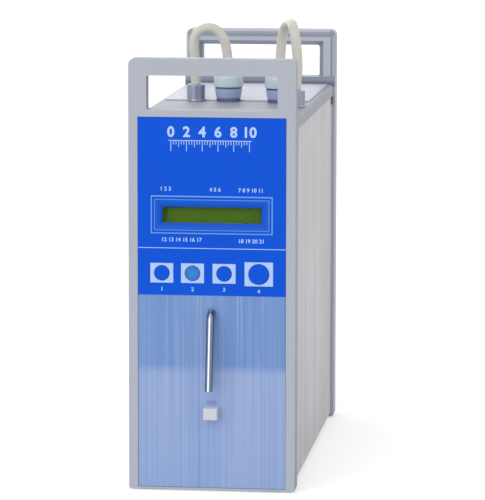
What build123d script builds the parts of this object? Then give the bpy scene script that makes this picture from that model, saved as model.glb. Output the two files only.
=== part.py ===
from build123d import *
import math
import os

# Bench ultrasonic milk analyzer, in millimetres.
# X runs to the right, +Y runs from the front panel to the rear, +Z is up.
# The origin is at the bottom centre of the whole instrument.

# Body and end frames
frame_width = 100.0
total_height = 260.0
body_depth = 270.0            # front face of the front frame to rear face of the rear frame
frame_depth = 16.0
frame_corner = 4.0
frame_foot_corner = 1.0
handle_bar = 10.2             # height of the carrying bar
handle_post = 10.8            # width of each post beside the opening
handle_opening = 20.7         # height of the finger opening
opening_corner = 1.5
handle_flat = 10.0            # straight part of the handle's depth, before its bevel
handle_bevel = 3.0
spigot_length = 8.0           # tongue of each frame inside the casing
spigot_wall = 3.0
ledge = 5.0                   # width of the ledge behind each end plate
bottom_bar = 12.0
window_bar = 15.0             # solid bar under the handle opening
spot_play = 0.1               # sliding clearance between fixed sheet parts
seam = 0.3                    # visible joint between shells

# Feet
foot_length = 14.0
foot_width = 9.0
foot_thickness = 2.3
foot_proud = 0.8
foot_inset = 8.0              # foot centre from the frame's side

# Sheet metal
casing_inset = 2.0            # casing side inside the frame's side
casing_base = 1.6             # underside of the casing above the rest surface
sheet = 1.2
casing_bend = 2.5
casing_lip = 8.0              # inward flange at the top of each side
lip_clearance = 1.0           # room round a port nut that stands in the flange
cover_sheet = 0.8
cover_drop = 5.2              # top of the cover below the finger opening
cover_skirt = 7.2
cover_bend = 2.0
port_plate_thickness = 0.8
port_plate_front = 125.0      # distance of its front edge behind the front face
port_plate_margin = 3.4       # cover left bare at each side of the port plate
port_plate_gap = 0.4          # round the ports that its front edge makes room for

# Front panel
border = 5.5                  # frame border beside the end plates
plate_bottom_gap = 1.2        # frame left under the end plates
plate_drop = 3.8              # top of the end plates below the finger opening
plate_play = 0.2
plate_thickness = 1.5
plate_recess = 0.4            # end plate face behind the frame's face
overlay_thickness = 0.3
overlay_height = 106.35

# Display
bezel_width = 73.2
bezel_height = 22.9
bezel_proud = 0.5
bezel_rim = 0.9
bezel_rim_share = 0.7         # most of its thickness that its rim's chamfer may take
display_drop = 62.1           # middle of the display below the finger opening
window_width = 59.4
window_height = 9.6
window_play = 0.15
lcd_frame_gap = 4.0           # room beside it in the front frame
lcd_frame_height = 26.0
lcd_frame_depth = 7.0
lcd_frame_wall = 1.0
lcd_frame_side = 2.0          # frame's opening past the window at each side
lcd_frame_end = 3.0           # and above and below it
lcd_glass_depth = 2.6
front_board_depth = 12.0      # board face behind the front face
front_board_gap = 0.5         # room beside it in the front frame
front_board_rise = 23.0       # board above the middle of the display
front_board_height = 74.0
board_thickness = 1.6

# Keys
key_drop = 35.0               # row of keys below the middle of the display
small_key_xs = (-29.95, -11.5, 7.45)
large_key_x = 28.25
small_dot = 9.0
large_dot = 12.2
small_square = (13.8, 11.8)
large_square = (17.0, 14.4)
square_proud = 0.2
key_proud = 0.9
key_travel = 0.5
key_play = 0.15
key_flange = 1.3              # how far the flange reaches past the dot
key_flange_thickness = 1.0
key_stem = 3.6
key_chamfer = 0.3
switch_side = 6.2
switch_height = 3.6
switch_case_height = 2.7
switch_button = 3.5

# Intake pipe and cup rest
pipe_outer = 4.6
pipe_bore = 3.2
pipe_below_keys = 23.6
pipe_elbow = 6.2              # corner of the centre line in front of the panel
pipe_bend = 6.0
pipe_reach = 14.0             # front end of the centre line in front of the panel
pipe_fall = 45.4              # end of the centre line below its elbow
pipe_inside = 26.0            # how far the pipe runs in behind the front face
gland_rim = 6.6
gland_rim_thickness = 0.5
gland_body = 5.8
gland_length = 7.0
gland_nut = 11.0
gland_nut_thickness = 3.0
rest_width = 8.4
rest_height = 7.2
rest_below_pipe = 14.9        # middle of the rest below the pipe's end
rest_reach = 8.0
rest_chamfer = 0.6
rest_stud = 4.0
rest_stud_spare = 1.5         # stud left past its nut
rest_nut = 7.0
rest_nut_thickness = 2.4

# Ports on top, measured from the middle and from the front face
port_a_at = (-25.7, 124.0)
port_b_at = (-5.1, 124.0)
port_c_at = (27.7, 118.0)
port_d_inset = 7.0            # axis of the side port inside the casing's side
port_d_depth = 88.0
ferrule_outer = 11.4
ferrule_height = 10.6
ferrule_lip = 12.2
socket_depth = 4.0
union_base = 15.0
union_top = 17.0
union_height = 7.0
union_land = 2.1              # straight part of a union under its cap
gasket_thickness = 1.8
nipple_height = 3.0
nipple_outer = 9.0
cap_gap = 0.4
cap_outer = 18.4
cap_wall_height = 5.0
cap_dome_height = 4.5
cap_dome_steps = ((0.9, 0.45), (0.72, 0.8))   # shares of the cap's radius and of the dome's height
cap_chamfer = 0.8
cap_neck = 9.6
cap_neck_height = 2.4
shank = 8.0
shank_length = 12.0
shank_play = 0.15
port_nut = 11.0
port_nut_thickness = 4.0
flow_bore = 3.0

# Flexible tubes on top
tube_outer = 6.2
tube_fit = 0.2                # radial clearance in a fixed socket
tube_clear = 0.45             # radial clearance in a turning cap
left_loop_radius = 9.6
left_loop_x = -18.2
left_loop_z = 260.1
left_loop_start_z = 243.5     # where each leg leaves the upright
left_loop_end_z = 251.2
left_loop_lean = 1.0          # crown of the loop off its middle
right_loop_z = 270.6          # the two shoulders
right_loop_crown = 5.4        # crown above the shoulders
right_loop_start_z = 247.4
right_loop_end_z = 249.7
right_loop_exit_z = 238.5
right_loop_draw_c = 2.0       # each shoulder drawn in from its port
right_loop_draw_d = 0.8
right_loop_bow = 1.5          # the leg's swell outside the side port
right_loop_lean = 1.9
loop_roundness = 0.45         # share of a run that each arc takes

# Inner chassis
chassis_sheet = 1.5
chassis_x = 0.0
chassis_front = 52.0
chassis_rear = 236.0
chassis_top = 196.0
chassis_flange = 22.0

# Measuring cell
cell_length = 64.0
cell_height = 44.0
cell_width = 24.0
cell_front = 108.0
cell_bottom = 120.0
cell_bore = 12.0
cell_port_share = 0.2         # place of each inlet along the cell
sensor_outer = 18.0
sensor_thickness = 7.0
cell_clamp_width = 8.0
cell_clamp_sheet = 1.5
cell_clamp_share = 0.38       # place of each clamp along the cell

# Peristaltic pump
pump_y = 80.0                 # axis behind the front face
pump_z = 62.0
pump_outer = 50.0
pump_depth = 18.0
pump_wall = 4.0
pump_back = 3.0
pump_cover = 2.0
pump_tail = 6.0               # squeezed tube left below the housing
track_tube = 4.0              # squeezed tube lying along the track
tube_slot_play = 0.4
rotor_hub = 14.0
rotor_arm_width = 8.0
rotor_play = 0.6
roller_outer = 9.0
roller_pin = 3.0
roller_play = 0.08
roller_gap = 0.4
roller_share = 0.55           # share of the rotor's depth between its arms
motor_shaft = 6.0
shaft_play = 0.1
shaft_root = 6.0              # shaft's length inside the motor
shaft_spare = 0.5
motor_outer = 35.0
motor_length = 40.0
motor_boss = 12.0
boss_play = 0.3
boss_gap = 0.5                # end of the boss short of the rotor's room

# Hoses and ribbon inside
hose_outer = 5.0
hose_bore = 3.0
hose_bend = 8.0
hose_lead = 14.0              # straight hose behind the intake pipe
intake_hose_turn = (-14.0, 72.0, 140.0)
intake_hose_rise_z = 185.0
sample_hose_top_z = 195.0
sample_hose_turns = (
    (-10.0, 80.0, 180.0),
    (-30.0, 55.0, 140.0),
    (-30.0, 50.0, 60.0),
    (-27.0, 53.0, 26.0),
    (-19.0, 57.0, 12.0),
)
pump_hose_in_z = 14.0
pump_hose_out_z = 15.0
cell_hose_lead = 8.0          # last turn in front of the cell's inlet
cell_hose_low_z = 12.0
cell_hose_rise_z = 24.0
ribbon_width = 18.0
ribbon_thickness = 1.0
ribbon_bend = 12.0
ribbon_x = 24.0
ribbon_z = 155.0
ribbon_straight = 30.0
ribbon_rise = 3.0             # ribbon above the face of the main board
ribbon_overlap = 6.0

# Electronics
main_board_front = 120.0
main_board_length = 104.0
main_board_bottom = 70.0
main_board_height = 112.0
standoff_length = 8.0
standoff_outer = 5.5
board_hole_inset = 5.0
screw_head = 5.6
screw_head_height = 2.0
screw_shank = 2.9
screw_reach = 5.0             # thread inside a standoff
chip_rows = ((22.0, 24.0, 5.0), (58.0, 18.0, 4.0), (80.0, 30.0, 8.0))
supply_rear_gap = 40.0        # from its rear end to the rear face
supply_length = 62.0
supply_width = 36.0
supply_height = 46.0
supply_foot = 8.0
supply_chamfer = 1.5
chip_shares = (0.3, 0.7)      # places of the components along the board
chip_aspect = 0.6             # their height over their length

# Rear panel
inlet_z = 40.0
inlet_width = 27.0
inlet_flange_width = 48.0
inlet_flange_height = 30.0
inlet_proud = 3.0
inlet_cavity_width = 24.0
inlet_cavity_height = 16.5
inlet_cavity_depth = 15.0
inlet_body_depth = 22.0
inlet_lip = 3.0               # flange reach past the body, above and below
inlet_pin = 2.0
inlet_pin_width = 4.0
inlet_pin_length = 11.0
inlet_pin_pitch = 7.0
inlet_pin_stagger = 2.0       # middle pin above the socket's centre, the others below
inlet_chamfer = 0.8
inlet_headroom = 4.0          # flange above the drawer
drawer_width = 22.0
drawer_height = 9.0
drawer_depth = 14.0
drawer_play = 0.3
drawer_face = 1.2
drawer_side_wall = 2.5
drawer_end_wall = 1.5
drawer_rise = 20.0            # drawer centre above the socket centre
switch_z = 92.0
switch_open_width = 19.0
switch_open_height = 13.0
switch_body_width = 24.0
switch_body_height = 18.0
switch_flange = 1.6
switch_lip = 2.0              # flange past the body on each side
switch_body_depth = 14.0
rocker_pivot_depth = 3.0
rocker_radius = 6.6
rocker_tilt = 10.0
rocker_play = 0.35
rocker_swing = 0.75           # room at each end for the corner's arc
rocker_sink = 0.2             # level rocker's ends below the flange face
rocker_taper = 0.75
rocker_waist = 2.0
rocker_heel = 4.6
rocker_pin = 2.0
rocker_pin_play = 0.06
serial_zs = (128.0, 158.0)
serial_flange = (31.0, 12.5)
serial_shell = (17.0, 8.4)
serial_shell_angle = 80.0
serial_shell_corner = 1.6
serial_body_side = 1.0        # body past the shell on each side
serial_post_reach = 3.0       # stud behind the plate
serial_flange_thickness = 0.9
serial_shell_length = 5.6
serial_body_depth = 9.0
serial_post_pitch = 25.0
serial_post = 4.8
serial_post_height = 4.0
slot_count = 8
slot_width = 2.4
slot_length = 34.0
slot_pitch = 5.2
slot_z = 190.0
plate_screw_rows = (20.0, 110.0, 212.0)
plate_screw_head = 4.4
plate_screw_head_height = 1.0
plate_screw_shank = 2.8
plate_screw_length = 6.0
side_screw_z = 213.8
side_screw_head = 5.4
side_screw_head_height = 1.4

# Values worked out from those above
rear_reach = max(serial_post_height, serial_shell_length, inlet_proud) - plate_recess
pipe_drop = math.atan2(pipe_reach - pipe_elbow, pipe_fall)
pipe_front = pipe_reach + pipe_outer / 2 * math.cos(pipe_drop)
front_y = -(body_depth + rear_reach - pipe_front) / 2
rear_y = front_y + body_depth
middle_y = front_y + body_depth / 2
frame_top = total_height
frame_base = foot_proud
inner_front = front_y + frame_depth
inner_rear = rear_y - frame_depth
opening_top = frame_top - handle_bar
sill = opening_top - handle_opening
opening_width = frame_width - 2 * handle_post
plate_width = frame_width - 2 * border
plate_bottom = frame_base + plate_bottom_gap
rebate = plate_recess + plate_thickness
plate_top = sill - plate_drop
overlay_bottom = plate_top - plate_play - overlay_height
display_z = sill - display_drop
key_z = display_z - key_drop
front_board_top = display_z + front_board_rise
front_board_bottom = front_board_top - front_board_height
pipe_z = key_z - pipe_below_keys
pipe_end_z = pipe_z - pipe_fall
rest_z = pipe_end_z - rest_below_pipe
cover_top = sill - cover_drop
casing_width = frame_width - 2 * casing_inset
port_d_at = (casing_width / 2 - port_d_inset, port_d_depth)
window_width_through = plate_width - 2 * ledge
lcd_frame_width = window_width_through - 2 * lcd_frame_gap
front_board_width = window_width_through - 2 * front_board_gap
supply_front = body_depth - supply_rear_gap - supply_length
casing_inner = casing_width - 2 * sheet
casing_top = cover_top - cover_sheet - spot_play
cover_width = casing_width + 2 * (cover_sheet + spot_play)
floor_top = casing_base + sheet
plate_face_y = front_y + plate_recess
plate_back_y = plate_face_y + plate_thickness
rear_plate_y = rear_y - plate_recess
board_face_y = front_y + front_board_depth


def facing(y):
    """A plane across the instrument at y, seen from the front, with local x, y along X, Z."""
    return Plane.XZ.offset(-y)


def level(z):
    """A horizontal plane at z, with local x, y along X, Y."""
    return Plane.XY.offset(z)


def beside(x):
    """An upright lengthwise plane at x, with local x, y along Y, Z."""
    return Plane.YZ.offset(x)


def save(piece, label):
    """Label a finished piece and write it to its own file."""
    piece.label = label
    export_step(piece, os.path.join("parts", label + ".step"))


def band(x_size, z_low, z_high):
    """A rectangle centred on X = 0 between two heights, on an upright plane."""
    with Locations((0, (z_low + z_high) / 2)):
        Rectangle(x_size, z_high - z_low)


os.makedirs("parts", exist_ok=True)

# End frames, each one moulding with its carrying handle
plate_low = plate_bottom
plate_high = plate_top
window_low = frame_base + bottom_bar
window_high = sill - window_bar
spigot_low = floor_top + spot_play
spigot_high = casing_top - sheet - spot_play
handle_root = sill - handle_bevel - 1

with BuildPart() as front_frame:
    with BuildSketch(facing(front_y)) as frame_outline:
        band(frame_width, frame_base, frame_top)
        fillet(frame_outline.vertices().group_by(Axis.Y)[-1], frame_corner)
        fillet(frame_outline.vertices().group_by(Axis.Y)[0], frame_foot_corner)
    extrude(amount=-frame_depth)
    with BuildSketch(facing(front_y + handle_flat)):
        band(frame_width + 2, sill, frame_top + 1)
    extrude(amount=-frame_depth, mode=Mode.SUBTRACT)
    with BuildSketch(facing(front_y + handle_flat)) as handle_outline:
        band(frame_width, handle_root, frame_top)
        fillet(handle_outline.vertices().group_by(Axis.Y)[-1], frame_corner)
        band_low = handle_root - 1
        with Locations((0, (band_low + opening_top) / 2)):
            Rectangle(opening_width, opening_top - band_low, mode=Mode.SUBTRACT)
    bevel_depth = frame_depth - handle_flat
    extrude(amount=-bevel_depth, taper=math.degrees(math.atan2(handle_bevel, bevel_depth)))
    with BuildSketch(facing(front_y - 1)) as handle_hole:
        band(opening_width, sill, opening_top)
        fillet(handle_hole.vertices(), opening_corner)
    extrude(amount=-(handle_flat + 1), mode=Mode.SUBTRACT)
    with BuildSketch(facing(inner_front)) as spigot_outline:
        band(casing_inner - 2 * spot_play, spigot_low, spigot_high)
        fillet(spigot_outline.vertices(), casing_bend)
    extrude(amount=-spigot_length)
    with BuildSketch(facing(front_y + rebate)):
        band(window_width_through, window_low, window_high)
    extrude(amount=-frame_depth, mode=Mode.SUBTRACT)
    with BuildSketch(facing(inner_front)):
        spigot_inner = casing_inner - 2 * (spot_play + spigot_wall)
        band(spigot_inner, spigot_low + spigot_wall, spigot_high - spigot_wall)
    extrude(amount=-(spigot_length + 1), mode=Mode.SUBTRACT)
    with BuildSketch(facing(front_y - 1)):
        band(plate_width, plate_low, plate_high)
    extrude(amount=-(rebate + 1), mode=Mode.SUBTRACT)
    foot_x = frame_width / 2 - foot_inset - foot_length / 2
    foot_y = front_y + frame_depth / 2
    with BuildSketch(level(frame_base)):
        with Locations((-foot_x, foot_y), (foot_x, foot_y)):
            Rectangle(foot_length + 2 * spot_play, foot_width + 2 * spot_play)
    extrude(amount=foot_thickness - foot_proud, mode=Mode.SUBTRACT)
save(front_frame.part, "front_frame")

plate_screw_x = plate_width / 2 - ledge / 2 - spot_play
plate_screws_at = [(side * plate_screw_x, z) for side in (-1, 1) for z in plate_screw_rows]
side_screw_at = (inner_rear - spigot_length / 2, side_screw_z)
with BuildPart() as rear_frame:
    add(mirror(front_frame.part, about=facing(middle_y)))
    with BuildSketch(facing(rear_y)):
        with Locations(plate_screws_at):
            Circle(plate_screw_shank / 2)
    extrude(amount=rebate + plate_screw_length, mode=Mode.SUBTRACT)
    with BuildSketch(beside(-frame_width)):
        with Locations(side_screw_at):
            Circle(plate_screw_shank / 2)
    extrude(amount=2 * frame_width, mode=Mode.SUBTRACT)
save(rear_frame.part, "rear_frame")

with BuildPart() as rubber_feet:
    foot_ys = (foot_y, 2 * middle_y - foot_y)
    with BuildSketch(level(0)):
        with Locations([(side * foot_x, y) for side in (-1, 1) for y in foot_ys]):
            Rectangle(foot_length, foot_width)
    extrude(amount=foot_thickness)
save(rubber_feet.part, "rubber_feet")

# Casing, bent from one sheet, with a slot-topped box section
shell_front = inner_front + seam
shell_length = inner_rear - inner_front - 2 * seam
with BuildPart() as casing:
    with BuildSketch(facing(shell_front)) as casing_section:
        band(casing_width, casing_base, casing_top)
        fillet(casing_section.vertices(), casing_bend)
        offset(amount=-sheet, mode=Mode.SUBTRACT)
        slot_width_top = casing_inner - 2 * casing_lip
        with Locations((0, casing_top)):
            Rectangle(slot_width_top, 4 * sheet, mode=Mode.SUBTRACT)
    extrude(amount=-shell_length)
    with BuildSketch(beside(-casing_width)):
        with Locations(side_screw_at):
            Circle(plate_screw_shank / 2 + spot_play)
    extrude(amount=2 * casing_width, mode=Mode.SUBTRACT)
    with BuildSketch(level(casing_top + 1)):
        with Locations((port_d_at[0], front_y + port_d_at[1])):
            notch = port_nut + 2 * lip_clearance
            Rectangle(2 * (casing_inner / 2 - port_d_at[0]), notch)
            Circle(notch / 2)
        with Locations((casing_inner / 2, front_y + port_d_at[1])):
            Rectangle(2 * casing_lip, 2 * notch, align=(Align.MIN, Align.CENTER), mode=Mode.SUBTRACT)
    extrude(amount=-(2 * sheet + 1), mode=Mode.SUBTRACT)
save(casing.part, "casing")

# Top cover with short skirts over the casing, and the light plate round the ports
ports_by_plate = [(port_a_at, ferrule_lip), (port_b_at, union_base), (port_c_at, union_base)]
all_ports = [port_a_at, port_b_at, port_c_at, port_d_at]
shank_hole = shank / 2 + shank_play
with BuildPart() as top_cover:
    with BuildSketch(facing(shell_front)) as cover_section:
        band(cover_width, cover_top - 3 * cover_skirt, cover_top)
        fillet(cover_section.vertices().group_by(Axis.Y)[-1], cover_bend)
        offset(amount=-cover_sheet, mode=Mode.SUBTRACT)
        with Locations((0, cover_top - cover_skirt)):
            Rectangle(2 * cover_width, 4 * cover_skirt, align=(Align.CENTER, Align.MAX), mode=Mode.SUBTRACT)
    extrude(amount=-shell_length)
    with BuildSketch(level(cover_top + 1)):
        with Locations([(x, front_y + y) for x, y in all_ports]):
            Circle(shank_hole)
    extrude(amount=-(cover_sheet + 2), mode=Mode.SUBTRACT)
save(top_cover.part, "top_cover")

plate_rear = inner_rear - seam - port_plate_margin
with BuildPart() as port_plate:
    with BuildSketch(level(cover_top)):
        front_edge = front_y + port_plate_front
        with Locations((0, (front_edge + plate_rear) / 2)):
            Rectangle(cover_width - 2 * port_plate_margin, plate_rear - front_edge)
        for site, flange in ports_by_plate:
            with Locations((site[0], front_y + site[1])):
                Circle(flange / 2 + port_plate_gap, mode=Mode.SUBTRACT)
    extrude(amount=port_plate_thickness)
save(port_plate.part, "port_plate")

# Screws that hold the casing and the rear plate to the rear frame
with BuildPart() as case_screws:
    for side in (-1, 1):
        with BuildSketch(beside(side * casing_width / 2)):
            with Locations(side_screw_at):
                Circle(side_screw_head / 2)
        extrude(amount=side * side_screw_head_height)
        with BuildSketch(beside(side * casing_width / 2)):
            with Locations(side_screw_at):
                Circle(plate_screw_shank / 2)
        extrude(amount=-side * plate_screw_length)
    with BuildSketch(facing(rear_plate_y)):
        with Locations(plate_screws_at):
            Circle(plate_screw_head / 2)
    extrude(amount=-plate_screw_head_height)
    with BuildSketch(facing(rear_plate_y)):
        with Locations(plate_screws_at):
            Circle(plate_screw_shank / 2)
    extrude(amount=plate_screw_length)
save(case_screws.part, "case_screws")

# Front panel
key_faces = [(x, small_dot, small_square) for x in small_key_xs]
key_faces.append((large_key_x, large_dot, large_square))
glass_width = window_width - 2 * window_play
glass_height = window_height - 2 * window_play

with BuildPart() as front_plate:
    with BuildSketch(facing(plate_face_y)):
        band(plate_width - 2 * plate_play, plate_low + plate_play, plate_high - plate_play)
        with Locations((0, display_z)):
            Rectangle(window_width, window_height, mode=Mode.SUBTRACT)
        with Locations((0, pipe_z)):
            Circle(gland_body / 2 + spot_play, mode=Mode.SUBTRACT)
        with Locations((0, rest_z)):
            Circle(rest_stud / 2 + spot_play, mode=Mode.SUBTRACT)
        for x, dot, square in key_faces:
            with Locations((x, key_z)):
                Circle(dot / 2 + key_play, mode=Mode.SUBTRACT)
    extrude(amount=-plate_thickness)
save(front_plate.part, "front_plate")

with BuildPart() as keypad_overlay:
    with BuildSketch(facing(plate_face_y)):
        band(plate_width - 2 * plate_play, overlay_bottom, plate_high - plate_play)
        with Locations((0, display_z)):
            Rectangle(bezel_width + 2 * spot_play, bezel_height + 2 * spot_play, mode=Mode.SUBTRACT)
        for x, dot, square in key_faces:
            with Locations((x, key_z)):
                Rectangle(square[0] + 2 * spot_play, square[1] + 2 * spot_play, mode=Mode.SUBTRACT)
    extrude(amount=overlay_thickness)
save(keypad_overlay.part, "keypad_overlay")

with BuildPart() as display_bezel:
    bezel_thickness = plate_recess + bezel_proud
    with BuildSketch(facing(plate_face_y)):
        with Locations((0, display_z)):
            Rectangle(bezel_width, bezel_height)
            Rectangle(window_width, window_height, mode=Mode.SUBTRACT)
    extrude(amount=bezel_thickness)
    face = display_bezel.faces().sort_by(Axis.Y)[0]
    chamfer(face.edges(), min(bezel_rim, bezel_thickness * bezel_rim_share))
save(display_bezel.part, "display_bezel")

with BuildPart() as display_window:
    with BuildSketch(facing(plate_back_y)):
        with Locations((0, display_z)):
            Rectangle(glass_width, glass_height)
    extrude(amount=plate_thickness + bezel_proud / 2)
save(display_window.part, "display_window")

lcd_front_y = board_face_y - lcd_frame_depth
with BuildPart() as lcd_frame:
    with BuildSketch(facing(board_face_y)):
        with Locations((0, display_z)):
            Rectangle(lcd_frame_width, lcd_frame_height)
    extrude(amount=lcd_frame_depth)
    with BuildSketch(facing(board_face_y)):
        with Locations((0, display_z)):
            Rectangle(lcd_frame_width - 2 * lcd_frame_wall, lcd_frame_height - 2 * lcd_frame_wall)
    extrude(amount=lcd_frame_depth - lcd_frame_wall, mode=Mode.SUBTRACT)
    with BuildSketch(facing(board_face_y)):
        with Locations((0, display_z)):
            Rectangle(window_width + 2 * lcd_frame_side, window_height + 2 * lcd_frame_end)
    extrude(amount=lcd_frame_depth + 1, mode=Mode.SUBTRACT)
save(lcd_frame.part, "lcd_frame")

with BuildPart() as lcd_glass:
    with BuildSketch(facing(lcd_front_y + lcd_frame_wall)):
        with Locations((0, display_z)):
            inset = 2 * (lcd_frame_wall + spot_play)
            Rectangle(lcd_frame_width - inset, lcd_frame_height - inset)
    extrude(amount=-lcd_glass_depth)
save(lcd_glass.part, "lcd_glass")

front_board_holes = [
    (side * (front_board_width / 2 - board_hole_inset), z)
    for side in (-1, 1)
    for z in (front_board_bottom + board_hole_inset, front_board_top - board_hole_inset)
]
with BuildPart() as front_board:
    with BuildSketch(facing(board_face_y)):
        band(front_board_width, front_board_bottom, front_board_top)
        with Locations(front_board_holes):
            Circle(screw_shank / 2 + spot_play, mode=Mode.SUBTRACT)
    extrude(amount=-board_thickness)
save(front_board.part, "front_board")

# Keys: a fixed square surround, and a round plunger that returns by itself
with BuildPart() as key_surrounds:
    for x, dot, square in key_faces:
        with BuildSketch(facing(plate_face_y)):
            with Locations((x, key_z)):
                Rectangle(*square)
                Circle(dot / 2 + key_play, mode=Mode.SUBTRACT)
        extrude(amount=plate_recess + square_proud)
save(key_surrounds.part, "key_surrounds")

flange_y = plate_back_y + spot_play
switch_top_y = board_face_y - switch_height
stem_end_y = switch_top_y - key_travel - spot_play
for number, (x, dot, square) in enumerate(key_faces, start=1):
    with BuildPart() as key:
        with BuildSketch(facing(flange_y)):
            with Locations((x, key_z)):
                Circle(dot / 2)
        extrude(amount=flange_y - front_y + key_proud)
        rim = key.edges().sort_by(Axis.Y)[0]
        chamfer(rim, key_chamfer)
        with BuildSketch(facing(flange_y)):
            with Locations((x, key_z)):
                Circle(dot / 2 + key_flange)
        extrude(amount=-key_flange_thickness)
        with BuildSketch(facing(flange_y)):
            with Locations((x, key_z)):
                Circle(key_stem / 2)
        extrude(amount=-(stem_end_y - flange_y))
    save(key.part, "key_%d" % number)

with BuildPart() as key_switches:
    for x, dot, square in key_faces:
        with BuildSketch(facing(board_face_y)):
            with Locations((x, key_z)):
                Rectangle(switch_side, switch_side)
        extrude(amount=switch_case_height)
        with BuildSketch(facing(board_face_y)):
            with Locations((x, key_z)):
                Circle(switch_button / 2)
        extrude(amount=switch_height)
save(key_switches.part, "key_switches")

# Intake pipe, with its gland through the panel
with BuildPart() as intake_pipe:
    with BuildLine(beside(0)) as pipe_line:
        FilletPolyline(
            (front_y + pipe_inside, pipe_z),
            (front_y - pipe_elbow, pipe_z),
            (front_y - pipe_reach, pipe_end_z),
            radius=pipe_bend,
        )
    with BuildSketch(facing(front_y + pipe_inside)):
        with Locations((0, pipe_z)):
            Circle(pipe_outer / 2)
            Circle(pipe_bore / 2, mode=Mode.SUBTRACT)
    sweep(path=pipe_line.wires()[0])
save(intake_pipe.part, "intake_pipe")

with BuildPart() as pipe_gland:
    with BuildSketch(facing(plate_face_y)):
        with Locations((0, pipe_z)):
            Circle(gland_rim / 2)
    extrude(amount=gland_rim_thickness)
    with BuildSketch(facing(plate_face_y)):
        with Locations((0, pipe_z)):
            Circle(gland_body / 2)
    extrude(amount=-gland_length)
    with BuildSketch(facing(plate_face_y - 2 * gland_rim_thickness)):
        with Locations((0, pipe_z)):
            Circle(pipe_outer / 2 + spot_play)
    extrude(amount=-(gland_length + 4 * gland_rim_thickness), mode=Mode.SUBTRACT)
save(pipe_gland.part, "pipe_gland")

# Rest for the sample cup under the pipe
with BuildPart() as cup_rest:
    with BuildSketch(facing(plate_face_y)):
        with Locations((0, rest_z)):
            Rectangle(rest_width, rest_height)
    extrude(amount=rest_reach + plate_recess)
    chamfer(cup_rest.faces().sort_by(Axis.Y)[0].edges(), rest_chamfer)
    with BuildSketch(facing(plate_face_y)):
        with Locations((0, rest_z)):
            Circle(rest_stud / 2)
    extrude(amount=-(plate_thickness + rest_nut_thickness + rest_stud_spare))
save(cup_rest.part, "cup_rest")

# Nuts behind the panel, one on the gland and one on the cup rest
with BuildPart() as panel_nuts:
    with BuildSketch(facing(plate_back_y)):
        with Locations((0, pipe_z)):
            RegularPolygon(gland_nut / 2, 6)
            Circle(gland_body / 2 + spot_play / 2, mode=Mode.SUBTRACT)
    extrude(amount=-gland_nut_thickness)
    with BuildSketch(facing(plate_back_y)):
        with Locations((0, rest_z)):
            RegularPolygon(rest_nut / 2, 6)
            Circle(rest_stud / 2 + spot_play / 2, mode=Mode.SUBTRACT)
    extrude(amount=-rest_nut_thickness)
save(panel_nuts.part, "panel_nuts")

# Ports on top: two plain ferrules and two unions with turning caps
tube_socket = tube_outer / 2 + tube_fit


def upright(site):
    """The upright plane that stands across a port, through its axis."""
    return facing(front_y + site[1])


def turned(points, site):
    """A solid of revolution about a port's axis, from radius and height pairs."""
    with BuildSketch(upright(site)) as profile:
        with BuildLine():
            Polyline([(site[0] + radius, z) for radius, z in points], close=True)
        make_face()
    revolve(profile.sketch, axis=Axis((site[0], front_y + site[1], 0), (0, 0, 1)))


def ferrule(site, seat):
    """A plain ferrule with its shank through the cover and a socket for the tube."""
    top = seat + ferrule_height
    lip = (ferrule_lip - ferrule_outer) / 2
    turned(
        [
            (flow_bore / 2, seat - shank_length),
            (shank / 2, seat - shank_length),
            (shank / 2, seat),
            (ferrule_lip / 2, seat),
            (ferrule_lip / 2, seat + 2 * lip),
            (ferrule_outer / 2, seat + 3 * lip),
            (ferrule_outer / 2, top - lip),
            (ferrule_outer / 2 - lip, top),
            (tube_socket, top),
            (tube_socket, top - socket_depth),
            (flow_bore / 2, top - socket_depth),
        ],
        site,
    )
    return top - socket_depth


def union(site, seat):
    """A union body whose nipple takes the tube under a screwed cap."""
    low = seat + gasket_thickness
    top = low + union_height
    turned(
        [
            (flow_bore / 2, seat - shank_length),
            (shank / 2, seat - shank_length),
            (shank / 2, low),
            (union_base / 2, low),
            (union_top / 2, top - union_land),
            (union_top / 2, top),
            (nipple_outer / 2, top),
            (nipple_outer / 2, top + nipple_height),
            (flow_bore / 2, top + nipple_height),
        ],
        site,
    )
    return top + nipple_height


def gasket(site, seat):
    """A dark gasket under a union body."""
    with BuildSketch(level(seat)) as ring:
        with Locations((site[0], front_y + site[1])):
            Circle(union_base / 2 - spot_play)
            Circle(shank / 2 + spot_play, mode=Mode.SUBTRACT)
    extrude(ring.sketch, amount=gasket_thickness)


def union_cap(site, seat):
    """A domed cap that turns about the port's axis, with a neck round the tube."""
    low = seat + gasket_thickness + union_height + cap_gap
    shoulder = low + cap_wall_height
    dome = shoulder + cap_dome_height
    top = dome + cap_neck_height
    wall = cap_outer / 2
    inside = nipple_outer / 2 + tube_clear
    ceiling = low + nipple_height + cap_gap
    bore = tube_outer / 2 + tube_clear
    turned(
        [
            (inside, low),
            (wall - cap_chamfer, low),
            (wall, low + cap_chamfer),
            (wall, shoulder),
            *[(wall * reach, shoulder + cap_dome_height * rise) for reach, rise in cap_dome_steps],
            (cap_neck / 2, dome),
            (cap_neck / 2, top),
            (bore, top),
            (bore, ceiling),
            (inside, ceiling),
        ],
        site,
    )


with BuildPart() as port_a:
    tube_a_z = ferrule(port_a_at, cover_top)
save(port_a.part, "port_a")

with BuildPart() as port_b:
    tube_b_z = union(port_b_at, cover_top)
save(port_b.part, "port_b")

with BuildPart() as port_c:
    tube_c_z = union(port_c_at, cover_top)
save(port_c.part, "port_c")

with BuildPart() as port_d:
    tube_d_z = ferrule(port_d_at, cover_top)
save(port_d.part, "port_d")

with BuildPart() as port_gaskets:
    gasket(port_b_at, cover_top)
    gasket(port_c_at, cover_top)
save(port_gaskets.part, "port_gaskets")

with BuildPart() as port_b_cap:
    union_cap(port_b_at, cover_top)
save(port_b_cap.part, "port_b_cap")

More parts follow.
